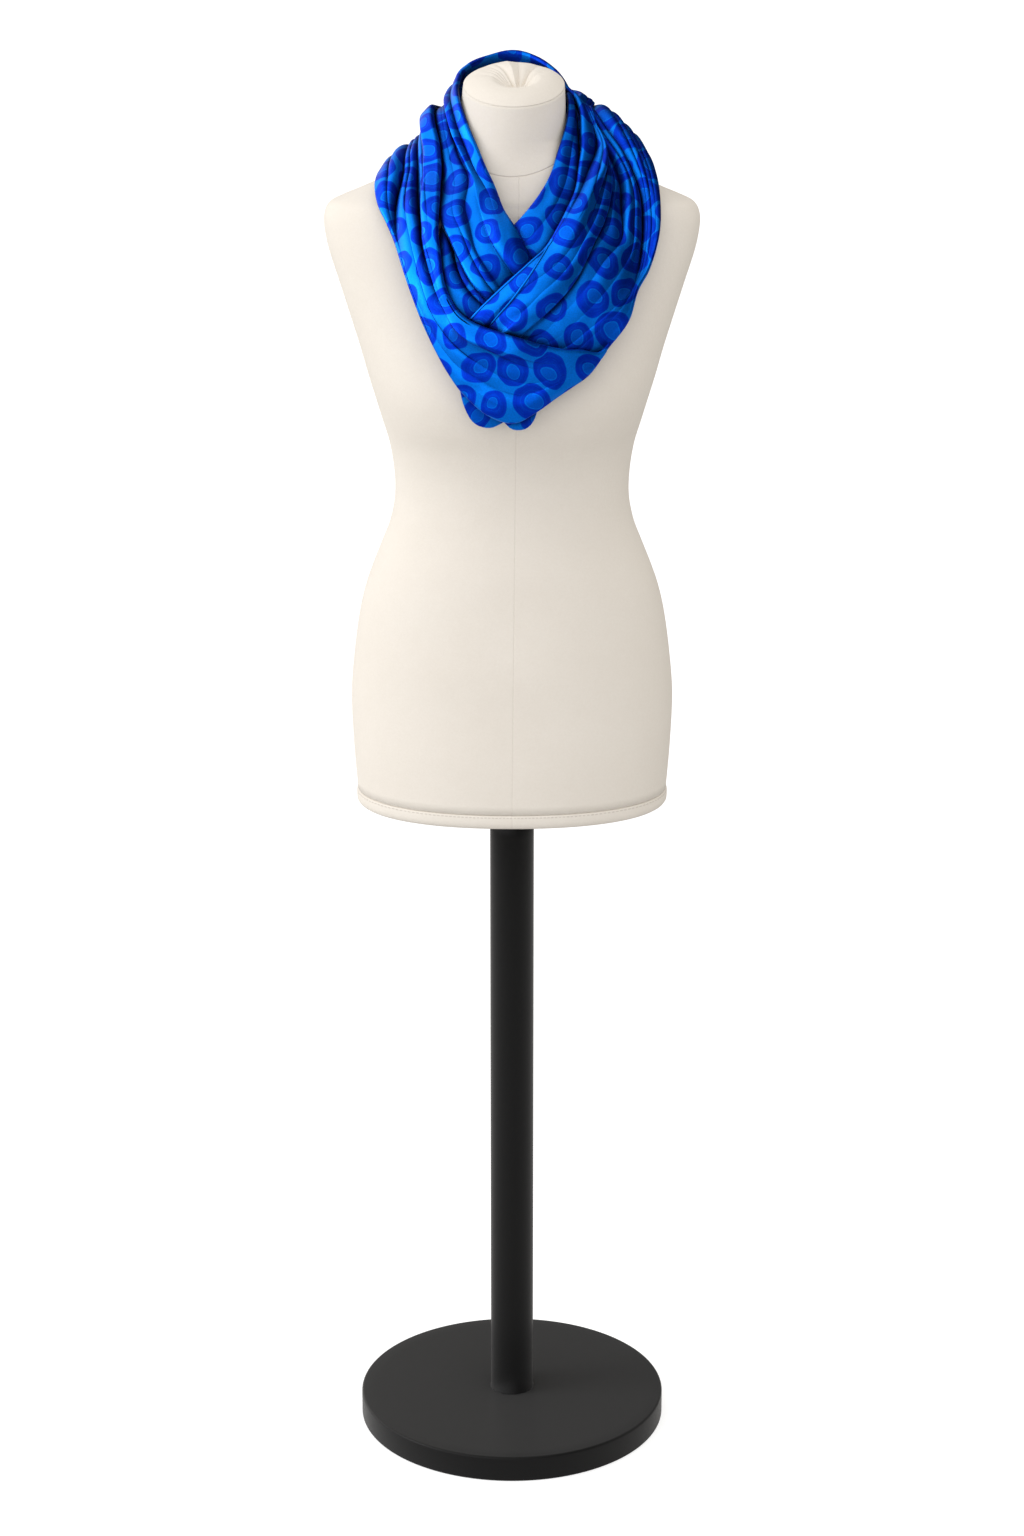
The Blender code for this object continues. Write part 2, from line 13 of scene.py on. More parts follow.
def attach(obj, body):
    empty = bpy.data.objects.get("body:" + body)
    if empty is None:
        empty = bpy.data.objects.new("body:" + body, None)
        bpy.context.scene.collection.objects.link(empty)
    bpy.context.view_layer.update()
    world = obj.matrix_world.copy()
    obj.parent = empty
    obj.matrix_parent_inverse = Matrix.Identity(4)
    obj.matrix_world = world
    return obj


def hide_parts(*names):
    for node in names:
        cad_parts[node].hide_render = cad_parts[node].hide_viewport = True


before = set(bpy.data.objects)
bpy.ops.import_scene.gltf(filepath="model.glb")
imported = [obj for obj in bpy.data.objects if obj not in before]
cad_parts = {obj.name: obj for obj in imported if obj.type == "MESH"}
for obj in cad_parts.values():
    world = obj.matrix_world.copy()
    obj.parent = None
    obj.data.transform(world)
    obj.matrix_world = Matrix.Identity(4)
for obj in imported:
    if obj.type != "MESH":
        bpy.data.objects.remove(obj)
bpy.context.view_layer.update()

# ---------- sizes, mm
MM = 0.001
CLOTH_THICKNESS = 0.7
CLOTH_CLEARANCE = 0.75  # from the face of one layer to the next
ROW_SPACING = 3.6  # along the cloth
LEAST_ROWS = 12
STATION_STEPS = 40  # from one station to the next, to measure the cloth
ROLL_STEPS = 7
FLAP_STEPS = 3
EDGE_FLAP = 12.0  # turned under at each edge, and the most it is of the width
FLAP_SHARE = 0.3
EDGE_ZONE = 17.0  # as far in as this, an edge and its flap are lifted together
ZONE_SHARE = 0.45
CREASE_SWELL = 0.45  # how far cloth stands up beside a crease, as a share of its depth
CREASE_SWELL_REACH = 14.0
FOLD_FROM_ROLL = 0.03  # the nearest that a fold comes to a rolled edge, as a share of the width
RIPPLE_HEIGHT = 0.6
RIPPLE_TURN = 0.28  # how much the ripples stray from the cloth's length, in radians
RIPPLE_LENGTHS = (14, 34)
RIPPLE_SWELLS = (50, 110)
RIPPLE_WAVES = 9
RIPPLE_UNEVEN = 0.4  # share of a wave's height that comes and goes
RIPPLE_SCALE = 1.2  # brings their sum to about -1 to 1

BASE_RADIUS = 170.5
BASE_THICKNESS = 29.0
BASE_EDGE = 2.6  # radius of its rounded rim
BASE_SIDES = 192
POLE_RADIUS = 23.75
POLE_BEAD = 0.8  # how far the bead round its foot stands out
POLE_SIDES = 96
HEM_BOTTOM = 727.0
HEM_TOP = 743.0
HEM_PROUD = 0.9
POLE_GAP = 0.3  # between the pole and what is over and under it

NECK_CENTRE_X = 2.0
NECK_CENTRE_Y = 3.0
NECK_HALF_WIDTH = 51.5
NECK_HALF_DEPTH = 50.0
NECK_TOP_FRONT_Z = 1463.0
NECK_TOP_TILT = radians(20)

# Which way is out: away from the body's middle, and rising over the shoulders.
BODY_MIDDLE = (0, 10, 0)
SHOULDER_RISE = 0.9
SHOULDER_X = (60, 125)
SHOULDER_Z = (1300, 1380)


def table(columns, *rows):
    """Rows of values under named columns."""
    return tuple(columns(*row) for row in rows)


# ---------- the dress form
Ring = namedtuple("Ring", "z half_width middle_y front_y back_y squareness")
TORSO_RINGS = table(
    Ring,
    (743.3, 165.5, 2, -114, 120, 2.2),
    (790, 169, 2, -113, 122, 2.2),
    (846, 171, 3, -109, 125, 2.2),
    (890, 167.5, 4, -106, 125, 2.2),
    (930, 162, 4, -101, 120, 2.2),
    (960, 155.5, 4, -97, 114, 2.2),
    (985, 147, 4, -94, 108, 2.15),
    (1010, 137, 4, -90, 101, 2.1),
    (1035, 127.5, 3, -87, 95, 2.1),
    (1062, 122.5, 2, -86, 90, 2.1),
    (1090, 123.2, 0, -89, 88, 2.1),
    (1118, 127.5, -2, -99, 88, 2.15),
    (1143, 134.5, -4, -113, 90, 2.25),
    (1168, 141.8, -5, -122, 94, 2.3),
    (1190, 148.5, -4, -123, 97, 2.3),
    (1218, 156.5, -2, -117, 100, 2.3),
    (1248, 166, 1, -107, 103, 2.3),
    (1285, 178, 5, -94, 106, 2.3),
    (1318, 188.5, 8, -81, 106, 2.3),
    (1343, 193, 11, -70, 104, 2.3),
    (1356, 191.5, 13, -64, 101, 2.3),
    (1364, 186, 14, -60, 98, 2.3),
    (1370, 174, 15, -58, 95, 2.2),
    (1377, 157, 15, -55, 92, 2.1),
    (1385, 138, 15, -52, 88, 2),
    (1395, 112, 14, -49, 82, 2),
    (1405, 87, 12, -47, 76, 2),
    (1416, 67, 10, -46, 69, 2),
    (1428, 56, 7, -46, 62, 2),
)
TORSO_SIDES = 120
RINGS_PER_STEP = 5
NECK_STEPS = 14

# A row for each crease of the gathered cap: its direction from the pinch (0 to the right,
# 90 to the back), depth, half width in degrees and how far out it reaches.
Gather = namedtuple("Gather", "angle depth spread reach")
GATHERS = table(
    Gather,
    (101, -3.2, 8, 1.0),
    (84, 6.5, 8, 0.95),
    (118, 5.0, 5, 0.85),
    (57, 8.0, 8, 1.0),
    (29, 2.6, 6, 0.85),
    (8, 1.0, 8, 0.6),
    (-35, 0.9, 10, 0.4),
    (131, 3.0, 4, 1.0),
    (140, 2.6, 4, 0.9),
    (150, 2.4, 4, 0.75),
    (164, 2.8, 7, 0.9),
    (192, 1.0, 10, 0.45),
    (238, 0.8, 12, 0.4),
)
CAP_DOME = 10.5
CAP_FLATNESS = 4.5
CAP_PINCH = 9.5
CAP_PINCH_REACH = 0.5  # of the way out from the pinch
CAP_PINCH_X = 3.5  # the pinch from the middle of the neck
CAP_PINCH_Y = -13.0
CAP_SLIT = 3.6  # half the width of the gathered slit
CAP_SLIT_DEPTH = 5.0
CAP_SLIT_REACH = 0.16
GATHERS_FROM = 0.12  # as far out as this, the gathers deepen
GATHERS_FADE = 0.6  # how sharply they end at their reach
CAP_LIFT = 0.25  # its rim over the neck's
CAP_SEAM = ((0.97, 0.08), (0.995, 0.14))  # rings under the rim, as (scale, lift)
CAP_SIDES = 240
CAP_RINGS = 52
CAP_INNERMOST = 0.02  # scale of its last ring

# ---------- the scarf
# A row for each section across the cloth, a station. inner is the edge towards the neck,
# outer the edge away from it, crown how far the cloth arches out between them.
Section = namedtuple("Section", "inner_x inner_y inner_z outer_x outer_y outer_z crown")
OUTER_LOOP = table(
    Section,
    (-32, -126, 1262, 18, -131, 1200, 2),
    (2, -131, 1260, 75, -127, 1213, 4),
    (25, -127, 1279, 100, -121, 1238, 6),
    (48, -117, 1304, 117, -117, 1261, 7),
    (65, -101, 1334, 126, -106, 1288, 7),
    (79, -79, 1359, 139, -92, 1310, 7),
    (89, -58, 1380, 148, -74, 1338, 7),
    (96, -38, 1396, 150, -52, 1365, 8),
    (91, -20, 1417, 147, -27, 1390, 11),
    (80, -3, 1443, 140, 0, 1408, 13),
    (70, 17, 1467, 132, 28, 1412, 14),
    (61, 40, 1475, 119, 62, 1405, 13),
    (45, 66, 1472, 93, 94, 1386, 10),
    (23, 84, 1462, 48, 117, 1360, 9),
    (-4, 90, 1452, -6, 124, 1348, 8),
    (-31, 83, 1448, -58, 113, 1356, 7),
    (-55, 62, 1453, -97, 85, 1375, 5),
    (-68, 36, 1459, -123, 47, 1393, 5),
    (-73, 12, 1460, -134, 9, 1395, 4),
    (-72, -9, 1448, -138, -20, 1391, 4),
    (-68, -28, 1428, -139, -38, 1381, 4),
    (-65, -47, 1405, -135, -54, 1367, 5),
    (-65, -67, 1384, -127, -70, 1353, 7),
    (-67, -87, 1361, -119, -85, 1336, 6),
    (-69, -104, 1336, -110, -103, 1313, 5),
    (-68, -119, 1311, -100, -119, 1286, 5),
    (-63, -129, 1290, -88, -131, 1257, 5),
    (-52, -136, 1274, -74, -139, 1229, 5),
    (-36, -142, 1263, -60, -144, 1206, 5),
    (-14, -146, 1255, -47, -147, 1190, 5),
    (8, -149, 1248, -24, -149, 1171, 5),
    (29, -149, 1241, 2, -149, 1163, 5),
    (50, -147, 1236, 26, -148, 1175, 4),
    (70, -142, 1234, 48, -145, 1190, 3),
    (87, -135, 1231, 74, -139, 1207, 2),
    (98, -127, 1240, 91, -131, 1227, 1),
)
INNER_LOOP = table(
    Section,
    (30, -106, 1302, -20, -118, 1280, 3),
    (16, -101, 1325, -36, -117, 1299, 5),
    (3, -92, 1351, -50, -109, 1320, 6),
    (-8, -80, 1368, -59, -96, 1341, 6),
    (-15, -67, 1384, -67, -80, 1358, 6),
    (-23, -52, 1404, -70, -60, 1380, 5),
    (-31, -37, 1427, -72, -38, 1405, 4),
    (-39, -25, 1448, -77, -16, 1430, 3),
    (-46, -8, 1470, -79, 5, 1451, 2),
    (-50, 24, 1488, -76, 33, 1449, 2),
    (-43, 48, 1501, -61, 58, 1442, 2),
    (-24, 63, 1508, -37, 77, 1435, 2),
    (1, 69, 1512, 1, 84, 1431, 2),
    (25, 63, 1507, 39, 76, 1435, 2),
    (44, 47, 1496, 62, 57, 1442, 2),
    (55, 26, 1483, 72, 30, 1453, 2),
    (58, 7, 1470, 75, 5, 1458, 2),
    (61, -10, 1450, 83, -11, 1441, 3),
    (61, -28, 1427, 95, -28, 1418, 4),
    (59, -46, 1407, 100, -46, 1397, 5),
    (57, -64, 1388, 98, -66, 1377, 6),
    (52, -81, 1371, 92, -86, 1356, 6),
    (45, -97, 1353, 82, -104, 1337, 6),
    (34, -111, 1334, 71, -119, 1315, 6),
    (18, -122, 1320, 59, -130, 1296, 6),
    (0, -130, 1305, 47, -136, 1283, 6),
    (-18, -135, 1289, 34, -140, 1271, 5),
    (-36, -137, 1271, 19, -142, 1259, 4),
    (-50, -134, 1252, 2, -139, 1242, 2),
)
THROAT_STRIP = table(
    Section,
    (53, 14, 1474, 63, 14, 1468, 0),
    (54, -1, 1462, 66, -2, 1455, 1),
    (52, -18, 1442, 68, -20, 1432, 2),
    (45, -38, 1417, 69, -42, 1406, 3),
    (38, -56, 1397, 67, -62, 1383, 3),
    (25, -75, 1377, 59, -81, 1360, 4),
    (7, -90, 1357, 43, -98, 1338, 4),
    (-14, -97, 1338, 20, -105, 1314, 3),
)
POUCH_LINING = table(
    Section,
    (-46, -80, 1362, -70, -78, 1360, 2),
    (-46, -92, 1342, -73, -93, 1338, 3),
    (-42, -103, 1322, -74, -108, 1314, 4),
    (-32, -112, 1304, -68, -119, 1292, 4),
    (-16, -119, 1290, -54, -127, 1272, 3),
    (4, -122, 1280, -36, -130, 1257, 2),
)
LEFT_TIP = table(
    Section,
    (-42, -136, 1212, -53, -137, 1199, 0),
    (-34, -137, 1203, -48, -138, 1178, 1),
    (-27, -137, 1197, -38, -138, 1161, 2),
    (-18, -137, 1194, -22, -138, 1156, 2),
    (-10, -137, 1194, -6, -138, 1163, 1),
)
RIGHT_TIP = table(
    Section,
    (-14, -141, 1192, -10, -142, 1166, 1),
    (-4, -141, 1190, 0, -142, 1156, 2),
    (6, -141, 1191, 13, -142, 1156, 2),
    (14, -141, 1194, 22, -142, 1165, 1),
    (19, -140, 1200, 27, -141, 1181, 0),
)

# A row for each fold: its valley's course as (station, fraction across, depth), and how
# far the cloth falls away to it on its inner and outer side. A small number is steep.
Fold = namedtuple("Fold", "course inner_side outer_side")
OUTER_FOLDS = table(
    Fold,
    (((0, .25, 0), (3, .33, 1), (5, .49, 4), (6, .37, 10), (7, .26, 11), (8, .18, 8), (9, .1, 5),
      (11, .12, 4), (14, .2, 6), (16, .2, 2), (17, .2, 1), (19, .2, 1), (22, .2, 2), (24, .16, 0),
      (26, .13, 0)), 11, 4),
    (((0, .5, 0), (3, .75, 2), (4, .91, 3), (5, .85, 9), (6, .76, 12), (7, .67, 12), (8, .5, 12),
      (9, .33, 12), (10, .24, 11), (12, .36, 10), (14, .46, 11), (16, .42, 9), (18, .42, 10),
      (20, .44, 12), (22, .47, 12), (24, .42, 10), (25, .32, 7), (26, .27, 3), (27, .26, 1),
      (28, .28, 0), (35, .3, 0)), 12, 5),
    (((0, .75, 0), (4, .96, 0), (5, .93, 3), (6, .88, 4), (8, .76, 6), (10, .58, 6), (12, .66, 7),
      (14, .74, 9), (16, .68, 8), (18, .58, 9), (20, .64, 12), (21, .76, 12), (22, .86, 9),
      (23, .93, 5), (24, .95, 0), (29, .7, 2), (30, .66, 2), (32, .6, 0)), 10, 5),
)
INNER_FOLDS = table(
    Fold,
    (((0, .2, 0), (2, .2, 0), (4, .15, 1), (5, .2, 4), (6, .24, 6), (8, .26, 5), (12, .3, 4),
      (16, .4, 4), (17, .6, 6), (18, .44, 8), (19, .24, 8), (20, .14, 6), (21, .1, 3), (22, .1, 0),
      (28, .2, 0)), 8, 4),
    (((0, .7, 3), (2, .72, 3), (4, .6, 1), (5, .42, 3), (6, .54, 5), (8, .62, 5), (12, .66, 5),
      (16, .78, 3), (17, .86, 1), (20, .7, 1), (22, .6, 1), (25, .34, 1.5), (28, .4, 1)), 7, 5),
)
# A row for each smaller crease, in the pleat it runs down (0 is the one nearest the neck).
# Its course is (station, share of the way across that pleat, depth).
Crease = namedtuple("Crease", "pleat course inner_side outer_side")
OUTER_CREASES = table(
    Crease,
    (0, ((0, .5, 0), (5, .5, 1), (7, .45, 2), (9, .5, 1), (11, .5, 0), (13, .45, 3), (14, .45, 2),
         (15, .5, 0)), 7, 2.5),
    (1, ((0, .5, 0), (4, .5, 1), (6, .5, 4), (8, .45, 5), (10, .5, 5), (12, .45, 3), (14, .6, 4),
         (16, .5, 4), (18, .5, 3), (20, .5, 4), (22, .5, 5), (24, .5, 3), (25, .5, 1), (27, .5, 0)), 8, 3),
    (2, ((0, .5, 0), (6, .5, 2), (8, .5, 3), (10, .55, 4), (12, .45, 4), (14, .5, 5), (16, .5, 3),
         (18, .5, 4), (20, .45, 4), (22, .5, 2), (24, .5, 1), (26, .6, 1), (28, .5, 2), (30, .6, 1),
         (35, .5, 0)), 7, 3),
    (3, ((0, .5, 0), (7, .5, 1), (9, .4, 4), (11, .5, 4), (13, .5, 3), (15, .45, 4), (17, .5, 4),
         (19, .5, 4), (21, .5, 2), (23, .5, 0)), 6, 3),
)
INNER_CREASES = table(
    Crease,
    (1, ((0, .4, 1), (2, .5, 1), (4, .5, 0), (8, .5, 1), (10, .5, 2), (13, .5, 1), (16, .5, 3),
         (19, .5, 3), (21, .5, 1), (24, .5, 0)), 8, 4),
    (2, ((0, .5, 2), (2, .4, 2), (5, .5, 1), (8, .5, 1), (11, .5, 2), (14, .5, 2), (17, .5, 2),
         (20, .45, 2), (23, .5, 1.5), (26, .5, 1)), 9, 3),
)
STRIP_FOLDS = table(Fold, (((0, .5, 0), (3, .55, 2), (7, .5, 1)), 7, 7))
LINING_FOLDS = table(Fold, (((0, .5, 2), (2, .45, 5), (5, .5, 2)), 6, 4))

# How the windings are laid: from and to which station, over how many stations a layer
# comes to lie over what is under it, and which rows above it are under it besides the form.
THROAT, LINING = "scarf_throat_pleat", "scarf_lining_fold"
INNER, OUTER = "scarf_inner_winding", "scarf_outer_winding"
LEFT, RIGHT = "scarf_left_tip", "scarf_right_tip"
Layer = namedtuple("Layer", "piece first last fade over")
LAYERS = table(
    Layer,
    (THROAT, 0, 7, 0, ()),
    (LINING, 0, 5, 0, ()),
    (INNER, 0, 9, 0, (0, 1)),
    (INNER, 9, 15, 0, ()),
    (OUTER, 0, 10, 0, (0, 1, 2)),
    (INNER, 15, 28, 1.4, (0, 1, 2, 4)),
    (OUTER, 10, 18, 0.6, (2, 3, 5)),
    (LEFT, 0, 4, 0, (4,)),
    (RIGHT, 0, 4, 0, (4, 7)),
    (OUTER, 18, 35, 0, (1, 2, 5, 4, 7, 8)),
)
# How round the folded edges are, as (station, radius of the inner edge, of the outer edge).
FOLDED_EDGES = ((0, 2.4, 2.4),)
OUTER_EDGES = ((0, 3.6, 2.6), (20, 3.4, 2.6), (28, 3.8, 2.6), (33, 3.4, 2.6), (35, 0.9, 0.9))
INNER_EDGES = ((0, 3.0, 3.4), (16, 3.0, 3.4), (19, 2.8, 3.0), (22, 2.6, 2.8), (23.5, 1.3, 2.8),
               (28, 1.2, 2.6))

# A piece's flat size is (width, length) in metres of the cloth that it shows, its area in
# square metres. It rests on the form and what rests_on names. Columns is how many steps of
# mesh there are from one valley to the next.
Piece = namedtuple("Piece", "sections folds creases edges columns nodes rests_on flat area")
PIECES = {
    THROAT: Piece(THROAT_STRIP, STRIP_FOLDS, (), FOLDED_EDGES, 12, ("scarf_throat_strip",), (),
                  (0.077, 0.213), 0.0112),
    LINING: Piece(POUCH_LINING, LINING_FOLDS, (), FOLDED_EDGES, 12, ("scarf_pouch_lining",), (),
                  (0.082, 0.131), 0.0078),
    INNER: Piece(INNER_LOOP, INNER_FOLDS, INNER_CREASES, INNER_EDGES, 12,
                 ("scarf_inner_left", "scarf_collar_back", "scarf_front_cross"),
                 (THROAT, LINING, OUTER), (0.124, 0.801), 0.0673),
    OUTER: Piece(OUTER_LOOP, OUTER_FOLDS, OUTER_CREASES, OUTER_EDGES, 12,
                 ("scarf_outer_right", "scarf_outer_back", "scarf_outer_left", "scarf_pouch"),
                 (INNER, LEFT, RIGHT), (0.163, 1.214), 0.125),
    LEFT: Piece(LEFT_TIP, (), (), FOLDED_EDGES, 24, ("scarf_tip_left",),
                (OUTER,), (0.073, 0.076), 0.0032),
    RIGHT: Piece(RIGHT_TIP, (), (), FOLDED_EDGES, 24, ("scarf_tip_right",),
                 (OUTER, LEFT), (0.068, 0.058), 0.0024),
}

# The two narrow hems on the front cross, as (station, share of the way across).
HEMS = {
    "scarf_edge_hem": ((22.6, .0), (24, .0), (25, .0), (26, .0), (26.8, .0), (27.4, .0)),
    "scarf_inner_hem": ((22.6, .0), (23.2, .06), (24, .16), (25, .26), (26, .33), (26.8, .365),
                        (27.4, .38)),
}
HEM_HALF_WIDTH = 1.1
HEM_HALF_HEIGHT = 0.75
HEM_SIDES = 10
HEM_STEPS = 16  # from one station of its course to the next
HEM_TAPER = 6  # steps at each end
HEM_CLOTH_PLACE = (0.019, 0.011)  # a place on the cloth, in metres, between three rings

# How a layer is laid over what is under it.
RAY_START = 150.0
RAY_PAST = 60.0
STEEPEST_SLOPE = 0.45
RELAX_PASSES = 160
RELAX_FALL = 0.995
BLUR_PASSES = 9
JOIN_ROWS = 6
EDGE_EVENING = 3  # rows to each side over which an edge's lift is evened out
NARROWEST_SPAN = 12.0  # for rolling the cloth out flat


# ---------- curves and fields
def spline(rows, places):
    """Values at fractional places of a curve through equally spaced rows (Catmull-Rom)."""
    rows = np.asarray(rows, float)
    padded = np.vstack([2 * rows[0] - rows[1], rows, 2 * rows[-1] - rows[-2]])
    start = np.clip(np.floor(places).astype(int), 0, len(rows) - 2)
    t = (np.asarray(places) - start)[:, None]
    before, here, after, beyond = (padded[start + k] for k in range(4))
    return 0.5 * (2 * here + (after - before) * t
                  + (2 * before - 5 * here + 4 * after - beyond) * t ** 2
                  + (3 * here - before - 3 * after + beyond) * t ** 3)


def ease(value, low, high):
    """0 below low, 1 above high, smooth between."""
    t = np.clip((value - low) / (high - low), 0, 1)
    return t * t * (3 - 2 * t)


def mixed(first, second, share):
    """The first value at share 0, the second at share 1."""
    return first * (1 - share) + second * share


def unit(vectors):
    """Vectors scaled to length 1."""
    return vectors / np.maximum(norm(vectors, axis=-1, keepdims=True), 1e-9)


def steps_along(line):
    """Distance from each point of a line to the next."""
    return norm(np.diff(line, axis=0), axis=1)


def running(steps):
    """Total of the steps before each point, from 0."""
    return np.concatenate([[0], np.cumsum(steps)])


def full_turn(sides):
    """Angles evenly round a circle."""
    return 2 * pi * np.arange(sides) / sides


def outward(points):
    """Direction away from the body: level round the neck and chest, rising on the shoulders."""
    around = points - np.array(BODY_MIDDLE)
    around[..., 2] = 0
    level = unit(around)
    rise = SHOULDER_RISE * np.abs(level[..., 0]) * ease(np.abs(points[..., 0]), *SHOULDER_X)
    level[..., 2] = rise * ease(points[..., 2], *SHOULDER_Z)
    return unit(level)


def ripple(along, across, seed):
    """Soft uneven ripples that run mostly along the cloth, about -1 to 1."""
    draw = np.random.default_rng(seed)
    total = np.zeros(np.broadcast(along, across).shape)
    for _ in range(RIPPLE_WAVES):
        angle = draw.normal(0, RIPPLE_TURN)
        length = draw.uniform(*RIPPLE_LENGTHS)
        phase = draw.uniform(0, 2 * pi)
        swell = np.sin(2 * pi * along / draw.uniform(*RIPPLE_SWELLS) + draw.uniform(0, 2 * pi))
        way = across * cos(angle) + along * sin(angle)
        total += np.sin(2 * pi * way / length + phase) * (1 - RIPPLE_UNEVEN + RIPPLE_UNEVEN * swell)
    return total / RIPPLE_WAVES ** 0.5 / RIPPLE_SCALE


# ---------- meshes
def grid_faces(rows, columns, around=False):
    """Quads over a grid of points, closed on itself across when around is set."""
    r, c = np.meshgrid(np.arange(rows - 1), np.arange(columns - (not around)), indexing="ij")
    nxt = (c + 1) % columns
    here, above = r * columns, (r + 1) * columns
    return np.stack([here + c, here + nxt, above + nxt, above + c], axis=-1).reshape(-1, 4)


def grid_normals(grid):
    """Unit normals of a grid of points, facing outwards over its middle."""
    normal = unit(np.cross(np.gradient(grid, axis=0), np.gradient(grid, axis=1)))
    middle = grid.shape[1] // 2
    if np.sum(normal[:, middle] * outward(grid[:, middle])) < 0:
        normal = -normal
    return normal


def linked(name, data):
    """An object in the scene with the given mesh, light or camera."""
    obj = bpy.data.objects.new(name, data)
    bpy.context.scene.collection.objects.link(obj)
    return obj


def new_object(name, points, faces, uvs=None):
    """A smooth-shaded object from points in millimetres, with a UV for each point if given."""
    mesh = bpy.data.meshes.new(name)
    mesh.from_pydata((np.asarray(points) * MM).tolist(), [], faces)
    if uvs is not None:
        layer = mesh.uv_layers.new(name="cloth")
        index = np.zeros(len(mesh.loops), dtype=np.int32)
        mesh.loops.foreach_get("vertex_index", index)
        layer.data.foreach_set("uv", np.asarray(uvs, dtype=np.float32)[index].ravel())
    shape = bmesh.new()
    shape.from_mesh(mesh)
    bmesh.ops.recalc_face_normals(shape, faces=shape.faces)
    shape.to_mesh(mesh)
    shape.free()
    mesh.shade_smooth()
    return linked(name, mesh)


def finished(piece, material, slot, *nodes):
    """A piece in its material, riding on the one body, in place of CAD nodes if any are named."""
    piece.data.materials.append(material)
    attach(piece, "root")
    if nodes:
        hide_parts(*nodes)
    return piece


def cloth_shell(name, grid, uvs):
    """A thin closed sheet of cloth whose middle surface is the grid."""
    rows, columns, _ = grid.shape
    half = grid_normals(grid) * CLOTH_THICKNESS / 2
    points = np.vstack([(grid + half).reshape(-1, 3), (grid - half).reshape(-1, 3)])
    count = rows * columns
    face = grid_faces(rows, columns)
    index = np.arange(count).reshape(rows, columns)
    rim = np.concatenate([index[0], index[1:, -1], index[-1, -2::-1], index[-2:0:-1, 0]])
    after = np.roll(rim, -1)
    edge = np.stack([rim, rim + count, after + count, after], axis=1)
    flat = uvs.reshape(-1, 2)
    faces = np.vstack([face, face[:, ::-1] + count, edge]).tolist()
    return new_object(name, points, faces, np.vstack([flat, flat]))


def stacked(name, rings, cloth_place=None):
    """A closed solid through rings of points, with a point closing each end."""
    rings = np.asarray(rings, float)
    count, sides, _ = rings.shape
    points = np.vstack([rings.reshape(-1, 3), rings[0].mean(axis=0), rings[-1].mean(axis=0)])
    faces = grid_faces(count, sides, around=True).tolist()
    bottom, last = count * sides, (count - 1) * sides
    for c in range(sides):
        nxt = (c + 1) % sides
        faces += [(bottom, nxt, c), (bottom + 1, last + c, last + nxt)]
    uvs = None if cloth_place is None else np.tile(cloth_place, (len(points), 1))
    return new_object(name, points, faces, uvs)


# ---------- scarf
Surface = namedtuple("Surface", "grid places across near_edge")


def sections_at(piece, places):
    """The inner edge, the outer edge and the crown of a piece, at places along it."""
    return np.split(spline(piece.sections, places), (3, 6), axis=1)


def section_rows(piece):
    """Places along a piece, evenly spaced over the cloth."""
    last = len(piece.sections) - 1
    stations = np.linspace(0, last, STATION_STEPS * last + 1)
    inner, outer, _ = sections_at(piece, stations)
    run = running(np.maximum(steps_along(inner), steps_along(outer)))
    count = max(int(run[-1] / ROW_SPACING), LEAST_ROWS)
    return np.interp(np.linspace(0, run[-1], count + 1), run, stations)


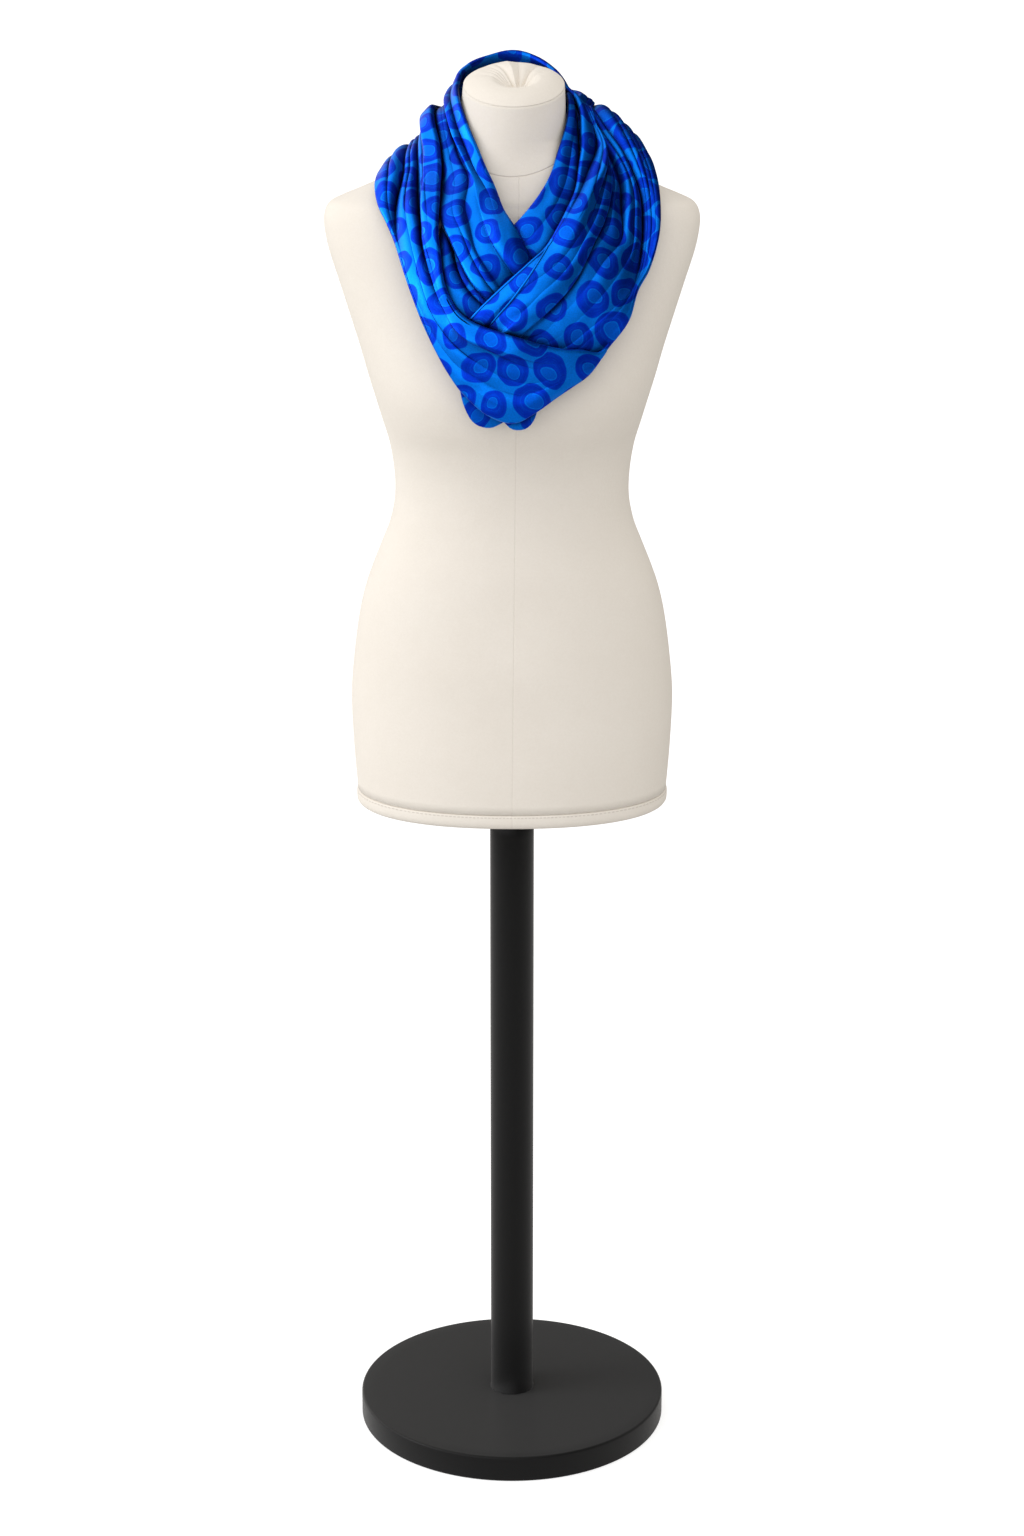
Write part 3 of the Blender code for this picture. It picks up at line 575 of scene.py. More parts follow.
def drape(piece, seed):
    """Middle surface of a whole piece before it is laid over the others."""
    places = section_rows(piece)
    inner, outer, crown = sections_at(piece, places)
    middle = (inner + outer) / 2
    width = norm(outer - inner, axis=1)
    way = unit(outer - inner)
    out = outward(middle)
    normal = unit(out - np.sum(out * way, axis=1, keepdims=True) * way)
    run = running(steps_along(middle))
    stations = np.arange(len(piece.sections))

    def track(course):
        """Where across the cloth, and how deep, a fold runs at each place."""
        at, *values = np.array(course, float).T
        return spline(np.column_stack([np.interp(stations, at, value) for value in values]), places).T

    at, *radii = np.array(piece.edges, float).T
    roll_in, roll_out = (np.interp(places, at, radius) for radius in radii)
    valleys = []
    for fold in piece.folds:
        across, depth = track(fold.course)
        nearest = roll_in / width + FOLD_FROM_ROLL
        valleys.append((np.clip(across, nearest, 1 - FOLD_FROM_ROLL - roll_out / width), depth, fold))
    limits = [roll_in / width] + [across for across, _, _ in valleys] + [1 - roll_out / width]
    for crease in piece.creases:
        share, depth = track(crease.course)
        low, high = limits[crease.pleat:crease.pleat + 2]
        valleys.append((low + (high - low) * share, depth, crease))
    bounds = sorted([limits[0], limits[-1], *(across for across, _, _ in valleys)],
                    key=lambda course: course.mean())
    share = (1 - np.cos(np.linspace(0, pi, piece.columns + 1))) / 2
    columns = [low + (high - low) * step for low, high in zip(bounds, bounds[1:])
               for step in share[:-1]]
    columns.append(bounds[-1])

    def height(across):
        """How far out the cloth stands at a share of the way across."""
        rise = crown[:, 0] * (1 - (2 * across - 1) ** 2)
        for valley, depth, fold in valleys:
            apart = (across - valley) * width
            reach = np.where(apart < 0, fold.inner_side, fold.outer_side)
            rise = rise - depth * np.exp(-np.abs(apart) / reach)
            if isinstance(fold, Crease):
                rise = rise + CREASE_SWELL * depth * np.exp(-(apart / CREASE_SWELL_REACH) ** 2)
        return rise + RIPPLE_HEIGHT * ripple(run, across * width, seed)

    def turned_edge(edge, inwards, rise, roll):
        """An edge's roll and then its flap, each point as (distance across, height)."""
        turns = [pi * (step + 1) / ROLL_STEPS for step in range(ROLL_STEPS)]
        points = [(edge + inwards * roll * (1 - sin(turn)), rise - roll * (1 - cos(turn)))
                  for turn in turns]
        for step in range(1, FLAP_STEPS + 1):
            under = np.minimum(EDGE_FLAP, width * FLAP_SHARE) * step / FLAP_STEPS
            distance = edge + inwards * (roll + under)
            points.append((distance, np.minimum(rise, height(distance / width)) - 2 * roll))
        return points

    line = turned_edge(0, 1, height(bounds[0]), roll_in)[::-1]
    line += [(across * width, height(across)) for across in columns]
    line += turned_edge(width, -1, height(bounds[-1]), roll_out)
    distance, rise = (np.stack(values, axis=1)[..., None] for values in zip(*line))
    grid = inner[:, None] + way[:, None] * distance + normal[:, None] * rise
    from_edge = np.minimum(distance[..., 0], width[:, None] - distance[..., 0])
    zone = np.minimum(EDGE_ZONE, width * ZONE_SHARE)[:, None]
    return Surface(grid, places, np.stack(columns, axis=1), from_edge < zone)


def unrolled(grid):
    """Flat place in metres of each point of a grid, found by rolling its rows out one by one."""
    low, high = ROLL_STEPS + FLAP_STEPS, grid.shape[1] - ROLL_STEPS - FLAP_STEPS - 1
    across = np.apply_along_axis(running, 1, norm(np.diff(grid, axis=1), axis=2))
    across -= (across[:, low] + across[:, high])[:, None] / 2
    chord = grid[:, high] - grid[:, low]
    direction = unit(chord)

    def advance(line):
        """How far a line goes sideways and forward on the cloth from each row to the next."""
        move = np.diff(line, axis=0)
        side = np.sum(move * direction[:-1], axis=1)
        return side, np.sqrt(np.maximum(np.sum(move * move, axis=1) - side * side, 0))

    side, forward = advance((grid[:, high] + grid[:, low]) / 2)
    turn = advance(grid[:, high])[1] - advance(grid[:, low])[1]
    span = norm(chord, axis=1)[:-1]
    heading = running(turn / np.maximum(span, NARROWEST_SPAN))
    row_way = np.column_stack([np.cos(heading), np.sin(heading)])
    ahead = row_way[:, ::-1] * (-1, 1)
    steps = side[:, None] * row_way[:-1] + forward[:, None] * ahead[:-1]
    place = np.apply_along_axis(running, 0, steps)
    return (place[:, None] + across[..., None] * row_way[:, None]) * MM


def search_tree(grids):
    """One tree of triangles for point grids (rows by columns) of cloth or form."""
    points, faces = [], []
    for grid in grids:
        faces += (grid_faces(*grid.shape[:2]) + len(points)).tolist()
        points += grid.reshape(-1, 3).tolist()
    return BVHTree.FromPolygons(points, faces)


def neighbours(field):
    """The four values beside each one, with the rim repeated."""
    padded = np.pad(field, 1, mode="edge")
    return [padded[:-2, 1:-1], padded[2:, 1:-1], padded[1:-1, :-2], padded[1:-1, 2:]]


def blur(field, passes):
    """Average of each value with its neighbours, repeated."""
    for _ in range(passes):
        field = (sum(neighbours(field)) + 2 * field) / 6
    return field


def widened(field, reach):
    """Highest value within a reach of cells, so that a blur afterwards cannot sink below it."""
    for _ in range(reach):
        field = np.maximum.reduce(neighbours(field) + [field])
    return field


def relax(needed, passes):
    """Spread a lift over its neighbours without letting it fall below what is needed."""
    lift = needed
    for _ in range(passes):
        lift = np.maximum(needed, RELAX_FALL * blur(lift, 1))
    return lift


def evened_peaks(values, reach):
    """A smooth run of values that is nowhere below the given ones."""
    for reduce in (np.max, np.mean):
        padded = np.pad(values, reach, mode="edge")
        values = reduce([padded[k:k + len(values)] for k in range(2 * reach + 1)], axis=0)
    return values


def lift_to_clear(grid, out, below, near_edge):
    """How far each point has to move out to stand clear above the first surface it meets."""
    needed = np.zeros(grid.shape[:2])
    starts = grid + out * RAY_START
    for spot in np.ndindex(needed.shape):
        way = -Vector(out[spot])
        hit, normal, _, distance = below.ray_cast(starts[spot], way, RAY_START + RAY_PAST)
        if hit is not None:
            clear = (CLOTH_THICKNESS + CLOTH_CLEARANCE) / max(abs(normal.dot(way)), STEEPEST_SLOPE)
            needed[spot] = max(0.0, RAY_START - distance + clear)
    middle = needed.shape[1] // 2
    for half in (slice(0, middle), slice(middle, None)):
        edge = near_edge[:, half]
        most = evened_peaks(np.where(edge, needed[:, half], 0).max(axis=1), EDGE_EVENING)
        needed[:, half] = np.where(edge, most[:, None], needed[:, half])
    return needed


def drape_scarf(form_grid):
    """Lay every layer over what is under it and return each piece's surface."""
    surfaces = {name: drape(piece, seed) for seed, (name, piece) in enumerate(PIECES.items())}
    bases = {name: (surface.grid.copy(), outward(surface.grid), np.zeros(surface.grid.shape[:2]))
             for name, surface in surfaces.items()}
    laid = []
    for layer in LAYERS:
        grid, places, _, near_edge = surfaces[layer.piece]
        base, out, lifts = bases[layer.piece]
        rows = np.nonzero((places >= layer.first - 1e-6) & (places <= layer.last + 1e-6))[0]
        below = search_tree([form_grid] + [laid[row] for row in layer.over])
        needed = lift_to_clear(base[rows], out[rows], below, near_edge[rows])
        if layer.fade:
            needed *= ease(places[rows], layer.first, layer.first + layer.fade)[:, None]
        before = rows[0] > 0
        if before:
            needed[0] = np.maximum(needed[0], lifts[rows[0] - 1])
        lift = relax(widened(needed, BLUR_PASSES // 3), RELAX_PASSES)
        lift = np.maximum(blur(lift, BLUR_PASSES), needed)
        if before:
            join = ease(np.arange(len(rows)), 0, JOIN_ROWS)[:, None]
            lift = mixed(lifts[rows[0] - 1], lift, join)
        lifts[rows] = lift
        grid[rows] = base[rows] + out[rows] * lift[..., None]
        laid.append(grid[rows])
    return surfaces


def hem_roll(name, surface, course):
    """A narrow rolled hem that runs over a draped surface."""
    at, share = spline(np.array(course), np.linspace(0, len(course) - 1, HEM_STEPS * len(course))).T
    rows = np.interp(at, surface.places, np.arange(len(surface.places)))
    both = np.concatenate([surface.grid, grid_normals(surface.grid)], axis=2)
    line = []
    for row, part in zip(rows, share):
        first = min(int(row), len(surface.places) - 2)
        ends = []
        for r in (first, first + 1):
            column = np.interp(part, surface.across[r], np.arange(surface.across.shape[1]))
            column += ROLL_STEPS + FLAP_STEPS
            left = int(column)
            ends.append(mixed(both[r, left], both[r, left + 1], column - left))
        line.append(mixed(*ends, row - first))
    centre, up = np.split(np.array(line), 2, axis=1)
    up = unit(up)
    side = unit(np.cross(up, np.gradient(centre, axis=0)))
    centre = centre + up * CLOTH_THICKNESS / 2
    turn = full_turn(HEM_SIDES)[None, :, None]
    from_end = np.minimum(np.arange(len(at)), np.arange(len(at))[::-1])
    taper = np.minimum(1, from_end / HEM_TAPER + 0.2)[:, None, None]
    round_it = (side[:, None] * HEM_HALF_WIDTH * np.cos(turn)
                + up[:, None] * HEM_HALF_HEIGHT * np.sin(turn))
    return stacked(name, centre[:, None] + taper * round_it, cloth_place=HEM_CLOTH_PLACE)


def make_scarf(surfaces, cloth):
    """The scarf's thin shells and hems."""
    shells = {name: finished(cloth_shell(name, surface.grid, unrolled(surface.grid)), cloth,
                             "scarf_cloth", *PIECES[name].nodes)
              for name, surface in surfaces.items()}
    hems = [finished(hem_roll(name, surfaces[INNER], course), cloth, "scarf_cloth")
            for name, course in HEMS.items()]
    for name, piece in PIECES.items():
        hems if name == INNER else []


# ---------- dress form
def form_ring(ring, grow=0.0):
    """One level section of the torso, fuller than an ellipse by its squareness."""
    turn = full_turn(TORSO_SIDES)
    wide = np.abs(np.cos(turn)) ** (2 / ring.squareness) * np.sign(np.cos(turn))
    deep = np.abs(np.sin(turn)) ** (2 / ring.squareness)
    back = ring.back_y - ring.middle_y + grow
    front = ring.front_y - ring.middle_y - grow
    reach = np.where(np.sin(turn) >= 0, back, front)
    return np.column_stack([(ring.half_width + grow) * wide, ring.middle_y + reach * deep,
                            np.full(TORSO_SIDES, float(ring.z))])


def neck_oval(sides, scale=1.0, to_pinch=0.0):
    """Ring over the neck's tilted top, smaller by scale and drawn towards the pinch."""
    turn = full_turn(sides)
    half_width = NECK_HALF_WIDTH * scale + CAP_SLIT * to_pinch ** 3
    x = NECK_CENTRE_X + half_width * np.cos(turn) + CAP_PINCH_X * to_pinch
    y = NECK_CENTRE_Y + NECK_HALF_DEPTH * scale * np.sin(turn) + CAP_PINCH_Y * to_pinch
    z = NECK_TOP_FRONT_Z + (y - NECK_CENTRE_Y + NECK_HALF_DEPTH) * tan(NECK_TOP_TILT)
    return np.column_stack([x, y, z])


def make_form(cover):
    """Torso with its neck, in the stretched cover. Returns its rings, closed round."""
    rows = np.array(TORSO_RINGS, float)
    places = np.linspace(0, len(rows) - 1, RINGS_PER_STEP * (len(rows) - 1) + 1)
    rings = [form_ring(Ring(*row)) for row in spline(rows, places)]
    level, top = form_ring(TORSO_RINGS[-1]), neck_oval(TORSO_SIDES)
    rings += [mixed(level, top, (step + 1) / NECK_STEPS) for step in range(NECK_STEPS)]
    finished(stacked("form_body", rings), cover, "form_cover", "form_torso")
    grid = np.array(rings)
    return np.concatenate([grid, grid[:, :1]], axis=1)


def cap_ring(scale):
    """One ring of the gathered cap, 1 at its seam and 0 at the pinch."""
    turn = full_turn(CAP_SIDES)
    rise = CAP_DOME * (1 - scale ** CAP_FLATNESS) - CAP_PINCH * (1 - ease(scale, 0, CAP_PINCH_REACH))
    rise = rise - CAP_SLIT_DEPTH * (1 - ease(scale, 0, CAP_SLIT_REACH)) * np.cos(turn) ** 4
    for gather in GATHERS:
        apart = np.abs((np.degrees(turn) - gather.angle + 180) % 360 - 180)
        fade = np.clip(1 - scale / gather.reach, 0, 1) ** GATHERS_FADE * ease(scale, 0, GATHERS_FROM)
        rise = rise - gather.depth * np.exp(-apart / gather.spread) * fade
    ring = neck_oval(CAP_SIDES, scale, 1 - scale)
    ring[:, 2] += CAP_LIFT + rise
    return ring


def make_cap(cover):
    """Top of the cover, gathered and pinched together over the neck, with its tucked edge."""
    rings = [neck_oval(CAP_SIDES, scale) + (0, 0, lift) for scale, lift in CAP_SEAM]
    rings += [cap_ring(scale) for scale in np.linspace(1, CAP_INNERMOST, CAP_RINGS)]
    finished(stacked("form_gathered_cap", rings), cover, "form_cover", "form_neck_cap")


def make_hem(cover):
    """Folded hem round the bottom of the cover."""
    profile = ((HEM_BOTTOM, -6.0), (HEM_BOTTOM + 0.6, -3.0), (HEM_BOTTOM + 2, -0.8),
               (HEM_BOTTOM + 4.5, HEM_PROUD), (HEM_BOTTOM + 8, HEM_PROUD + 0.3),
               (HEM_TOP - 3, HEM_PROUD + 0.2), (HEM_TOP - 1.2, HEM_PROUD - 0.4),
               (HEM_TOP - 0.3, -0.8), (HEM_TOP - 0.1, -3.0))
    rings = [form_ring(TORSO_RINGS[0]._replace(z=z), grow) for z, grow in profile]
    finished(stacked("form_hem", rings), cover, "form_cover", "form_hem_band")


# ---------- stand
def turned(name, profile, sides):
    """Solid of revolution round Z through (radius, z) rows."""
    turn = full_turn(sides)
    ring = np.column_stack([np.cos(turn), np.sin(turn), np.zeros(sides)])
    return stacked(name, [ring * r + (0, 0, z) for r, z in profile])


def make_stand(metal):
    """Pole and round base."""
    profile = [(BASE_RADIUS * share, 0.0) for share in (0.2, 0.9)]
    for z, first, last, steps in ((BASE_EDGE, -pi / 2, 0, 5),
                                  (BASE_THICKNESS - BASE_EDGE, 0, pi / 2, 7)):
        profile += [(BASE_RADIUS - BASE_EDGE + BASE_EDGE * cos(turn), z + BASE_EDGE * sin(turn))
                    for turn in np.linspace(first, last, steps)]
    profile += [(BASE_RADIUS * share, BASE_THICKNESS) for share in (0.9, 0.5, 0.2)]
    finished(turned("stand_base_plate", profile, BASE_SIDES), metal, "stand_metal", "stand_base")
    foot, head = BASE_THICKNESS + POLE_GAP, HEM_BOTTOM - POLE_GAP
    bead = POLE_RADIUS + POLE_BEAD
    profile = [(bead, foot), (bead, foot + 0.7), (POLE_RADIUS, foot + 1.5)]
    profile += [(POLE_RADIUS, z) for z in (*np.linspace(60, head - 40, 8), head)]
    finished(turned("stand_tube", profile, POLE_SIDES), metal, "stand_metal", "stand_pole")


# ---------- materials
class Field:
    """What a node puts out. Arithmetic on it adds the nodes that do the sum."""

    def __init__(self, nodes, socket):
        self.nodes = nodes
        self.socket = socket

    def __add__(self, value):
        return self.nodes.math("ADD", self, value)

    def __sub__(self, value):
        return self.nodes.math("SUBTRACT", self, value)

    def __rsub__(self, value):
        return self.nodes.math("SUBTRACT", value, self)

    def __mul__(self, value):
        return self.nodes.math("MULTIPLY", self, value)

    def __truediv__(self, value):
        return self.nodes.math("DIVIDE", self, value)


class Nodes:
    """Short calls that add nodes to a tree."""

    def __init__(self, tree):
        self.tree = tree

    def feed(self, socket, value):
        """Link a socket to a field, or set it."""
        if isinstance(value, Field):
            self.tree.links.new(value.socket, socket)
        else:
            socket.default_value = value

    def add(self, kind, inputs=(), output=0, **settings):
        """A new node with its settings and inputs. Gives one of its outputs."""
        made = self.tree.nodes.new("ShaderNode" + kind)
        for key, value in settings.items():
            setattr(made, key, value)
        for key, value in dict(inputs).items():
            self.feed(made.inputs[key], value)
        return Field(self, made.outputs[output])

    def math(self, operation, *values):
        """An operation, done on vectors if one of the values is a vector or a colour."""
        vector = any(value.socket.type != "VALUE" if isinstance(value, Field)
                     else isinstance(value, tuple) for value in values)
        output = "Value" if operation in ("LENGTH", "DOT_PRODUCT") else 0
        return self.add("VectorMath" if vector else "Math", enumerate(values), output,
                        operation=operation)

    def noise(self, place, scale, detail=2.0, roughness=0.5, output="Fac"):
        """Uneven values, about as many as scale in a metre."""
        inputs = {"Vector": place, "Scale": scale, "Detail": detail, "Roughness": roughness}
        return self.add("TexNoise", inputs, output)

    def mix(self, share, first, second):
        """A colour between two."""
        return self.add("Mix", {0: share, 6: first, 7: second}, 2, data_type="RGBA")

    def bumped(self, *layers):
        """Normal of a surface under layers of (height, its distance in metres, strength)."""
        normal = {}
        for height, distance, strength in layers:
            inputs = {"Height": height, "Distance": distance, "Strength": strength}
            normal = {"Normal": self.add("Bump", inputs | normal)}
        return normal["Normal"]


class Shader(Nodes):
    """A Principled material, whose constants are set on its own sockets."""

    def __init__(self, name, **constants):
        self.material = bpy.data.materials.new(name)
        self.material.use_nodes = True
        super().__init__(self.material.node_tree)
        self.wired(**constants)

    def wired(self, **values):
        """Set or link the shader's sockets, and give the material."""
        surface = self.tree.nodes["Principled BSDF"]
        for name, value in values.items():
            self.feed(surface.inputs[name.replace("_", " ")], value)
        return self.material


def srgb(*channels):
    """Linear colour of an sRGB one given as 0 to 255."""
    shares = [channel / 255 for channel in channels]
    return (*[v / 12.92 if v <= 0.04045 else ((v + 0.055) / 1.055) ** 2.4 for v in shares], 1.0)


# The print: two offset lattices of rings, in metres on the cloth.
RING_PITCH = 0.038
RING_ROW_PITCH = RING_PITCH * 3 ** 0.5
RING_RADIUS = 0.0167
LATTICES = ((0.0, 1.0), (0.5, 7.0))  # offset in pitches, seed
RING_STRAY = (0.26, 0.26, 0)  # most that a ring strays across, in radii
RING_OVALNESS = (0.36, -0.36, 0)
RING_SMALLEST = 0.96
RING_SIZE_RANGE = 0.14
DISC_SHIFT = (-0.5, 0.45, 0)
OUTLINE_WAVES = 34  # of the hand-drawn outlines, in a metre
OUTLINE_WAVE_DEPTH = (0.013, 0.013, 0)
HALVES = (0.5, 0.5, 0.5)
DISC = srgb(0, 90, 212)
OUTLINE = srgb(0, 110, 228)
BAND = srgb(0, 54, 196)
BAND_DEEP = srgb(0, 45, 184)
FINE_LINE = srgb(0, 74, 210)
GROUND = srgb(2, 116, 230)
# From a ring's middle, 0, to its rim, 1.
PRINT_STOPS = ((0.0, DISC), (0.37, DISC), (0.39, OUTLINE), (0.42, OUTLINE), (0.45, BAND),
               (0.575, BAND), (0.595, FINE_LINE), (0.615, BAND), (0.80, BAND_DEEP), (0.96, BAND),
               (1.0, GROUND))
BAND_FROM = 0.46
BAND_TO = 0.96
BRUSH_LINES = 62.0  # how close the brushed lines in the band lie
BRUSH_WANDER = 12.0
BRUSH_STRENGTH = 0.3
BRUSH_WEAR = 3.0  # how sharply the brushed lines break off
BRUSH_WORN = 1.1
# Lightness of the cloth: the least, and what patches and the weave add.
SHADE_LEAST = 0.64
SHADE_PATCHES = 0.24
SHADE_WEAVE = 0.5
# Painted shade: ambient occlusion darkens the cloth's colour down in the folds and under edges, where
# little light gets in: (reach in metres, depth).
PAINTED_FOLD_SHADE = ((0.022, 1.3), (0.006, 1.6))


def ring_field(shader, cloth, offset, seed):
    """Share of the way from a ring's middle to its rim, for the nearest ring of one lattice."""
    scaled = cloth / (RING_PITCH, RING_ROW_PITCH, 1) + (offset, offset, 0)
    cell = shader.math("FLOOR", scaled) + (0, 0, seed)
    inside = shader.math("FRACTION", scaled) - (0.5, 0.5, 0)
    inside = inside * (RING_PITCH / RING_RADIUS, RING_ROW_PITCH / RING_RADIUS, 0)
    jitter = shader.add("TexWhiteNoise", {"Vector": cell}, "Color") - HALVES
    size = shader.add("TexWhiteNoise", {"Vector": cell}, "Value") * RING_SIZE_RANGE + RING_SMALLEST
    inside = (inside + jitter * RING_STRAY) * ((jitter * RING_OVALNESS + (1.0, 1.0, 0)) * size)
    # the disc sits a little off the middle, and the lines between shift with it
    pull = shader.math("MAXIMUM", 1.0 - shader.math("LENGTH", inside), 0.0)
    return shader.math("LENGTH", inside + jitter * DISC_SHIFT * pull)


def cloth_material():
    """Light satin with the ring print, its colour darkened by painted shade in the folds."""
    shader = Shader("ring_print_satin", Metallic=0.9, Roughness=0.44, Sheen_Weight=0.06,
                    Sheen_Roughness=0.4, Specular_IOR_Level=0.2, Sheen_Tint=srgb(60, 150, 255))
    cloth = shader.add("UVMap", uv_map="cloth")
    wobble = shader.noise(cloth, OUTLINE_WAVES, 1.0, output="Color") - HALVES
    printed = cloth + wobble * OUTLINE_WAVE_DEPTH
    place = shader.math("MINIMUM", *(ring_field(shader, printed, *lattice) for lattice in LATTICES))
    ramp = shader.add("ValToRGB", {0: place})
    stops = ramp.socket.node.color_ramp.elements
    for stop, (position, color) in zip(stops, (PRINT_STOPS[0], PRINT_STOPS[-1])):
        stop.position, stop.color = position, color
    for position, color in PRINT_STOPS[1:-1]:
        stops.new(position).color = color
    phase = shader.noise(cloth, 70) * BRUSH_WANDER + place * BRUSH_LINES
    lines = shader.math("SINE", phase) * 0.5 + 0.5
    in_band = (shader.math("GREATER_THAN", place, BAND_FROM)
               * shader.math("LESS_THAN", place, BAND_TO))
    worn = shader.math("MAXIMUM", shader.noise(cloth, 150, 1.0) * BRUSH_WEAR - BRUSH_WORN, 0.0)
    brushed = lines * lines * in_band * shader.math("MINIMUM", worn, 1.0)
    color = shader.mix(brushed * BRUSH_STRENGTH, ramp, DISC)
    patchy, weave = shader.noise(cloth, 22), shader.noise(cloth, 620)
    color = color * (patchy * SHADE_PATCHES + (weave * SHADE_WEAVE + SHADE_LEAST))
    # painted shade: ambient occlusion darkens the base colour in folds and crevices
    for reach, depth in PAINTED_FOLD_SHADE:
        light = shader.add("AmbientOcclusion", {"Distance": reach}, "AO", samples=6)
        color = color * shader.math("POWER", light, depth)
    grain, crinkle = shader.noise(cloth, 1400), shader.noise(cloth, 110, 3.0)
    normal = shader.bumped((grain, 0.00012, 0.5), (crinkle, 0.0006, 0.35))
    return shader.wired(Base_Color=color, Normal=normal)


# Seams of the cover, in metres.
NECK_SEAM_Z = 1.3946
NECK_SEAM_BEND = 6.4  # how it rises to the sides: metres for each square metre of x squared
NECK_SEAM_END = 0.06  # as far to each side as this
NECK_SEAM_HALF = 0.0009
FRONT_SEAM_LEAN = 0.0107
FRONT_SEAM_DEPTH = 0.4  # beside the neck seam's
THREAD_HALF = 0.0007
STITCH_Z = 0.7405
STITCHES = 190
STITCH_SHARE = 0.62  # of the way to the next stitch


def cover_seams(shader, place):
    """Share of a seam or stitch at a point: neck seam, front seam and the stitched hem."""
    x, y, z = (shader.add("SeparateXYZ", {0: place}, axis) for axis in "XYZ")

    def line(apart, half_width):
        away = shader.math("ABSOLUTE", apart) / half_width
        return 1.0 - shader.math("MINIMUM", away, 1.0)

    def below(value, limit):
        return shader.math("LESS_THAN", value, limit)

    sideways = x * x
    above_neck_seam = z - (sideways * NECK_SEAM_BEND + NECK_SEAM_Z)
    neck = line(above_neck_seam, NECK_SEAM_HALF) * below(sideways, NECK_SEAM_END ** 2)
    lean = (z - HEM_TOP * MM) * FRONT_SEAM_LEAN
    front = line(x - lean, THREAD_HALF) * below(y, 0.0) * below(above_neck_seam, 0.0)
    around = shader.math("ARCTAN2", y, x) * (STITCHES / (2 * pi))
    stitch = line(z - STITCH_Z, THREAD_HALF) * below(shader.math("FRACT", around), STITCH_SHARE)
    return shader.math("MAXIMUM", shader.math("MAXIMUM", neck, front * FRONT_SEAM_DEPTH), stitch)


def cover_material():
    """Ivory jersey stretched over the padding."""
    shader = Shader("ivory_jersey", Roughness=0.92, Sheen_Weight=0.12, Specular_IOR_Level=0.25)
    place = shader.add("TexCoord", output="Object")
    color = shader.mix(shader.noise(place, 14, 4.0, 0.6), srgb(236, 229, 218), srgb(243, 237, 227))
    color = shader.mix(shader.noise(place, 420) * 0.25, color, srgb(218, 208, 192))
    seam = cover_seams(shader, place)
    color = shader.mix(seam * 0.5, color, srgb(196, 184, 170))
    knit, slub = shader.noise(place, 950), shader.noise(place, 60, 3.0)
    normal = shader.bumped((knit, 0.0003, 0.5), (slub, 0.0012, 0.4), (1.0 - seam, 0.0006, 0.8))
    return shader.wired(Base_Color=color, Normal=normal)


def metal_material():
    """Fine black powder coat."""
    shader = Shader("black_powder_coat", Roughness=0.25, Specular_IOR_Level=0.08, Sheen_Weight=0.15,
                    Sheen_Roughness=0.6)
    place = shader.add("TexCoord", output="Object")
    color = shader.mix(shader.noise(place, 9, 3.0), srgb(4, 4, 4), srgb(8, 8, 8))
    normal = shader.bumped((shader.noise(place, 1300), 0.0002, 0.35))
    return shader.wired(Base_Color=color, Normal=normal)


# ---------- stage, in metres
CAMERA_DISTANCE = 3.3
CAMERA_HEIGHT = 1.7334
CAMERA_PITCH = radians(16.411)
CAMERA_LENS = 75.03
FLOOR_HALF = 45.0
FLOOR_LIFT = 0.68  # light that only the camera sees, so the floor is as pale as the sky
# Strength of the studio's light from each way: bright at one end of an axis, falling evenly
# to dim at a place along it.
Sky = namedtuple("Sky", "axis bright dim dim_from")
SKY_SOFT = Sky((0.5, 0.85, 0.17), 1.31, 0.55, 1.0)  # what lights matt surfaces
SKY_MIRRORED = Sky((0.95, 0.3, 0.0), 3.1, 0.0, 0.3)  # what shiny surfaces mirror
SKY_WHITE = (1.0, 1.0, 1.03, 1.0)  # its colour at the bright end
SKY_WARM = (1.0, 0.955, 0.88, 1.0)  # and at the dim end
KEY_PLACE = (-3.8, -0.8, 2.2)
KEY_TARGET = (0, 0, 1.15)
KEY_SIZE = 2.0
KEY_POWER = 46.0


def make_camera():
    """The photograph's view: level pan, tilted down."""
    camera = linked("camera", bpy.data.cameras.new("camera"))
    camera.data.sensor_width = 36
    camera.data.lens = CAMERA_LENS
    camera.data.clip_end = 200
    camera.location = (0, -CAMERA_DISTANCE, CAMERA_HEIGHT)
    camera.rotation_euler = (pi / 2 - CAMERA_PITCH, 0, 0)
    bpy.context.scene.camera = camera


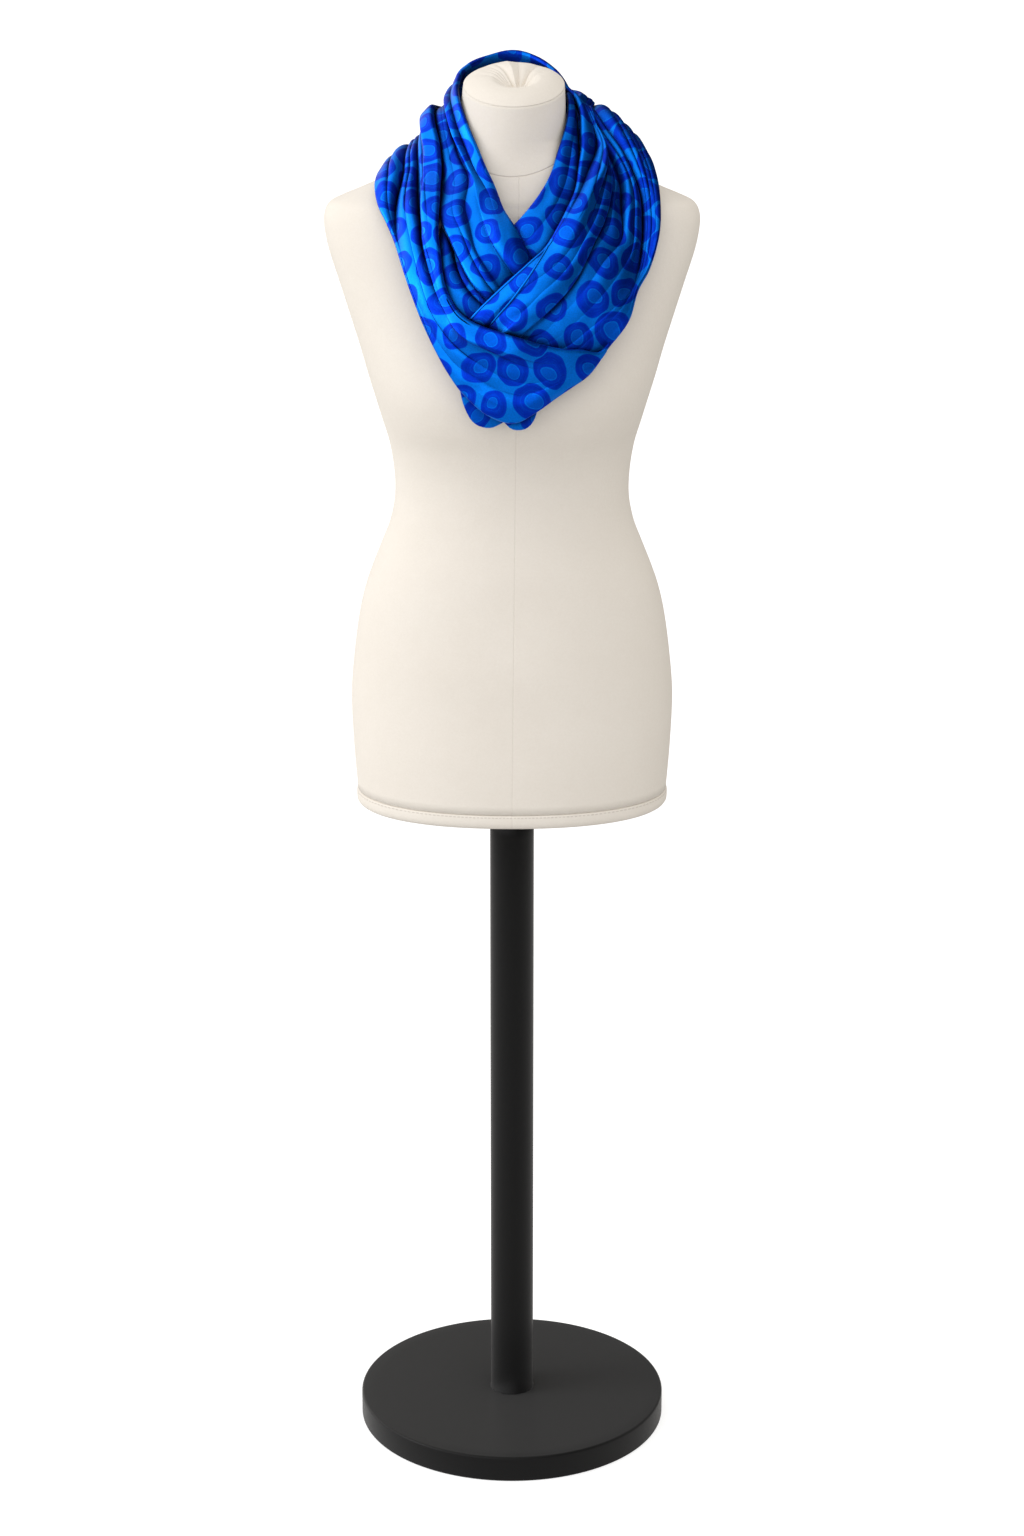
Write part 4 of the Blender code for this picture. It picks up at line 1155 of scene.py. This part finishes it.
def make_key_light():
    """A soft square light from the left."""
    light = linked("key", bpy.data.lights.new("key", "AREA"))
    light.data.size = KEY_SIZE
    light.data.energy = KEY_POWER
    light.location = KEY_PLACE
    aim = Vector(KEY_TARGET) - Vector(KEY_PLACE)
    light.rotation_euler = aim.to_track_quat("-Z", "Y").to_euler()


def make_sky():
    """Surroundings: white to the camera, and a soft light that falls off to the dim side."""
    world = bpy.data.worlds.new("studio")
    world.use_nodes = True
    nodes = Nodes(world.node_tree)
    seen, mirrored = (nodes.add("LightPath", output=f"Is {ray} Ray") for ray in ("Camera", "Glossy"))
    way = nodes.add("TexCoord", output="Generated")

    def fall(sky, bright, dim):
        inputs = {"Value": nodes.math("DOT_PRODUCT", way, sky.axis), "From Min": -1.0,
                  "From Max": sky.dim_from, "To Min": bright, "To Max": dim}
        return nodes.add("MapRange", inputs, "Result")

    soft, shiny = (fall(sky, sky.bright, sky.dim) for sky in (SKY_SOFT, SKY_MIRRORED))
    lit = soft + (shiny - soft) * mirrored
    tint = nodes.mix(fall(SKY_SOFT, 0.0, 1.0), SKY_WHITE, SKY_WARM)
    background = world.node_tree.nodes["Background"]
    nodes.feed(background.inputs["Strength"], lit + (1.0 - lit) * seen)
    nodes.feed(background.inputs["Color"], nodes.mix(seen, tint, (1, 1, 1, 1)))
    return world


def make_stage():
    """Pale floor, white surroundings and a soft light from the left."""
    floor = bpy.data.meshes.new("floor")
    corners = [(x * FLOOR_HALF, y * FLOOR_HALF, 0) for x, y in ((-1, -1), (1, -1), (1, 1), (-1, 1))]
    floor.from_pydata(corners, [], [(0, 1, 2, 3)])
    paint = Shader("pale_floor", Base_Color=(0.6, 0.6, 0.6, 1), Roughness=0.9,
                   Specular_IOR_Level=0.0, Emission_Color=(1, 1, 1, 1))
    seen = paint.add("LightPath", output="Is Camera Ray")
    floor.materials.append(paint.wired(Emission_Strength=seen * FLOOR_LIFT))
    linked("floor", floor)
    bpy.context.scene.view_settings.view_transform = "Standard"
    bpy.context.scene.world = make_sky()
    make_key_light()


make_camera()
make_stage()
cloth = cloth_material()
cover = cover_material()
metal = metal_material()
surfaces = drape_scarf(make_form(cover))
make_cap(cover)
make_hem(cover)
make_stand(metal)
make_scarf(surfaces, cloth)
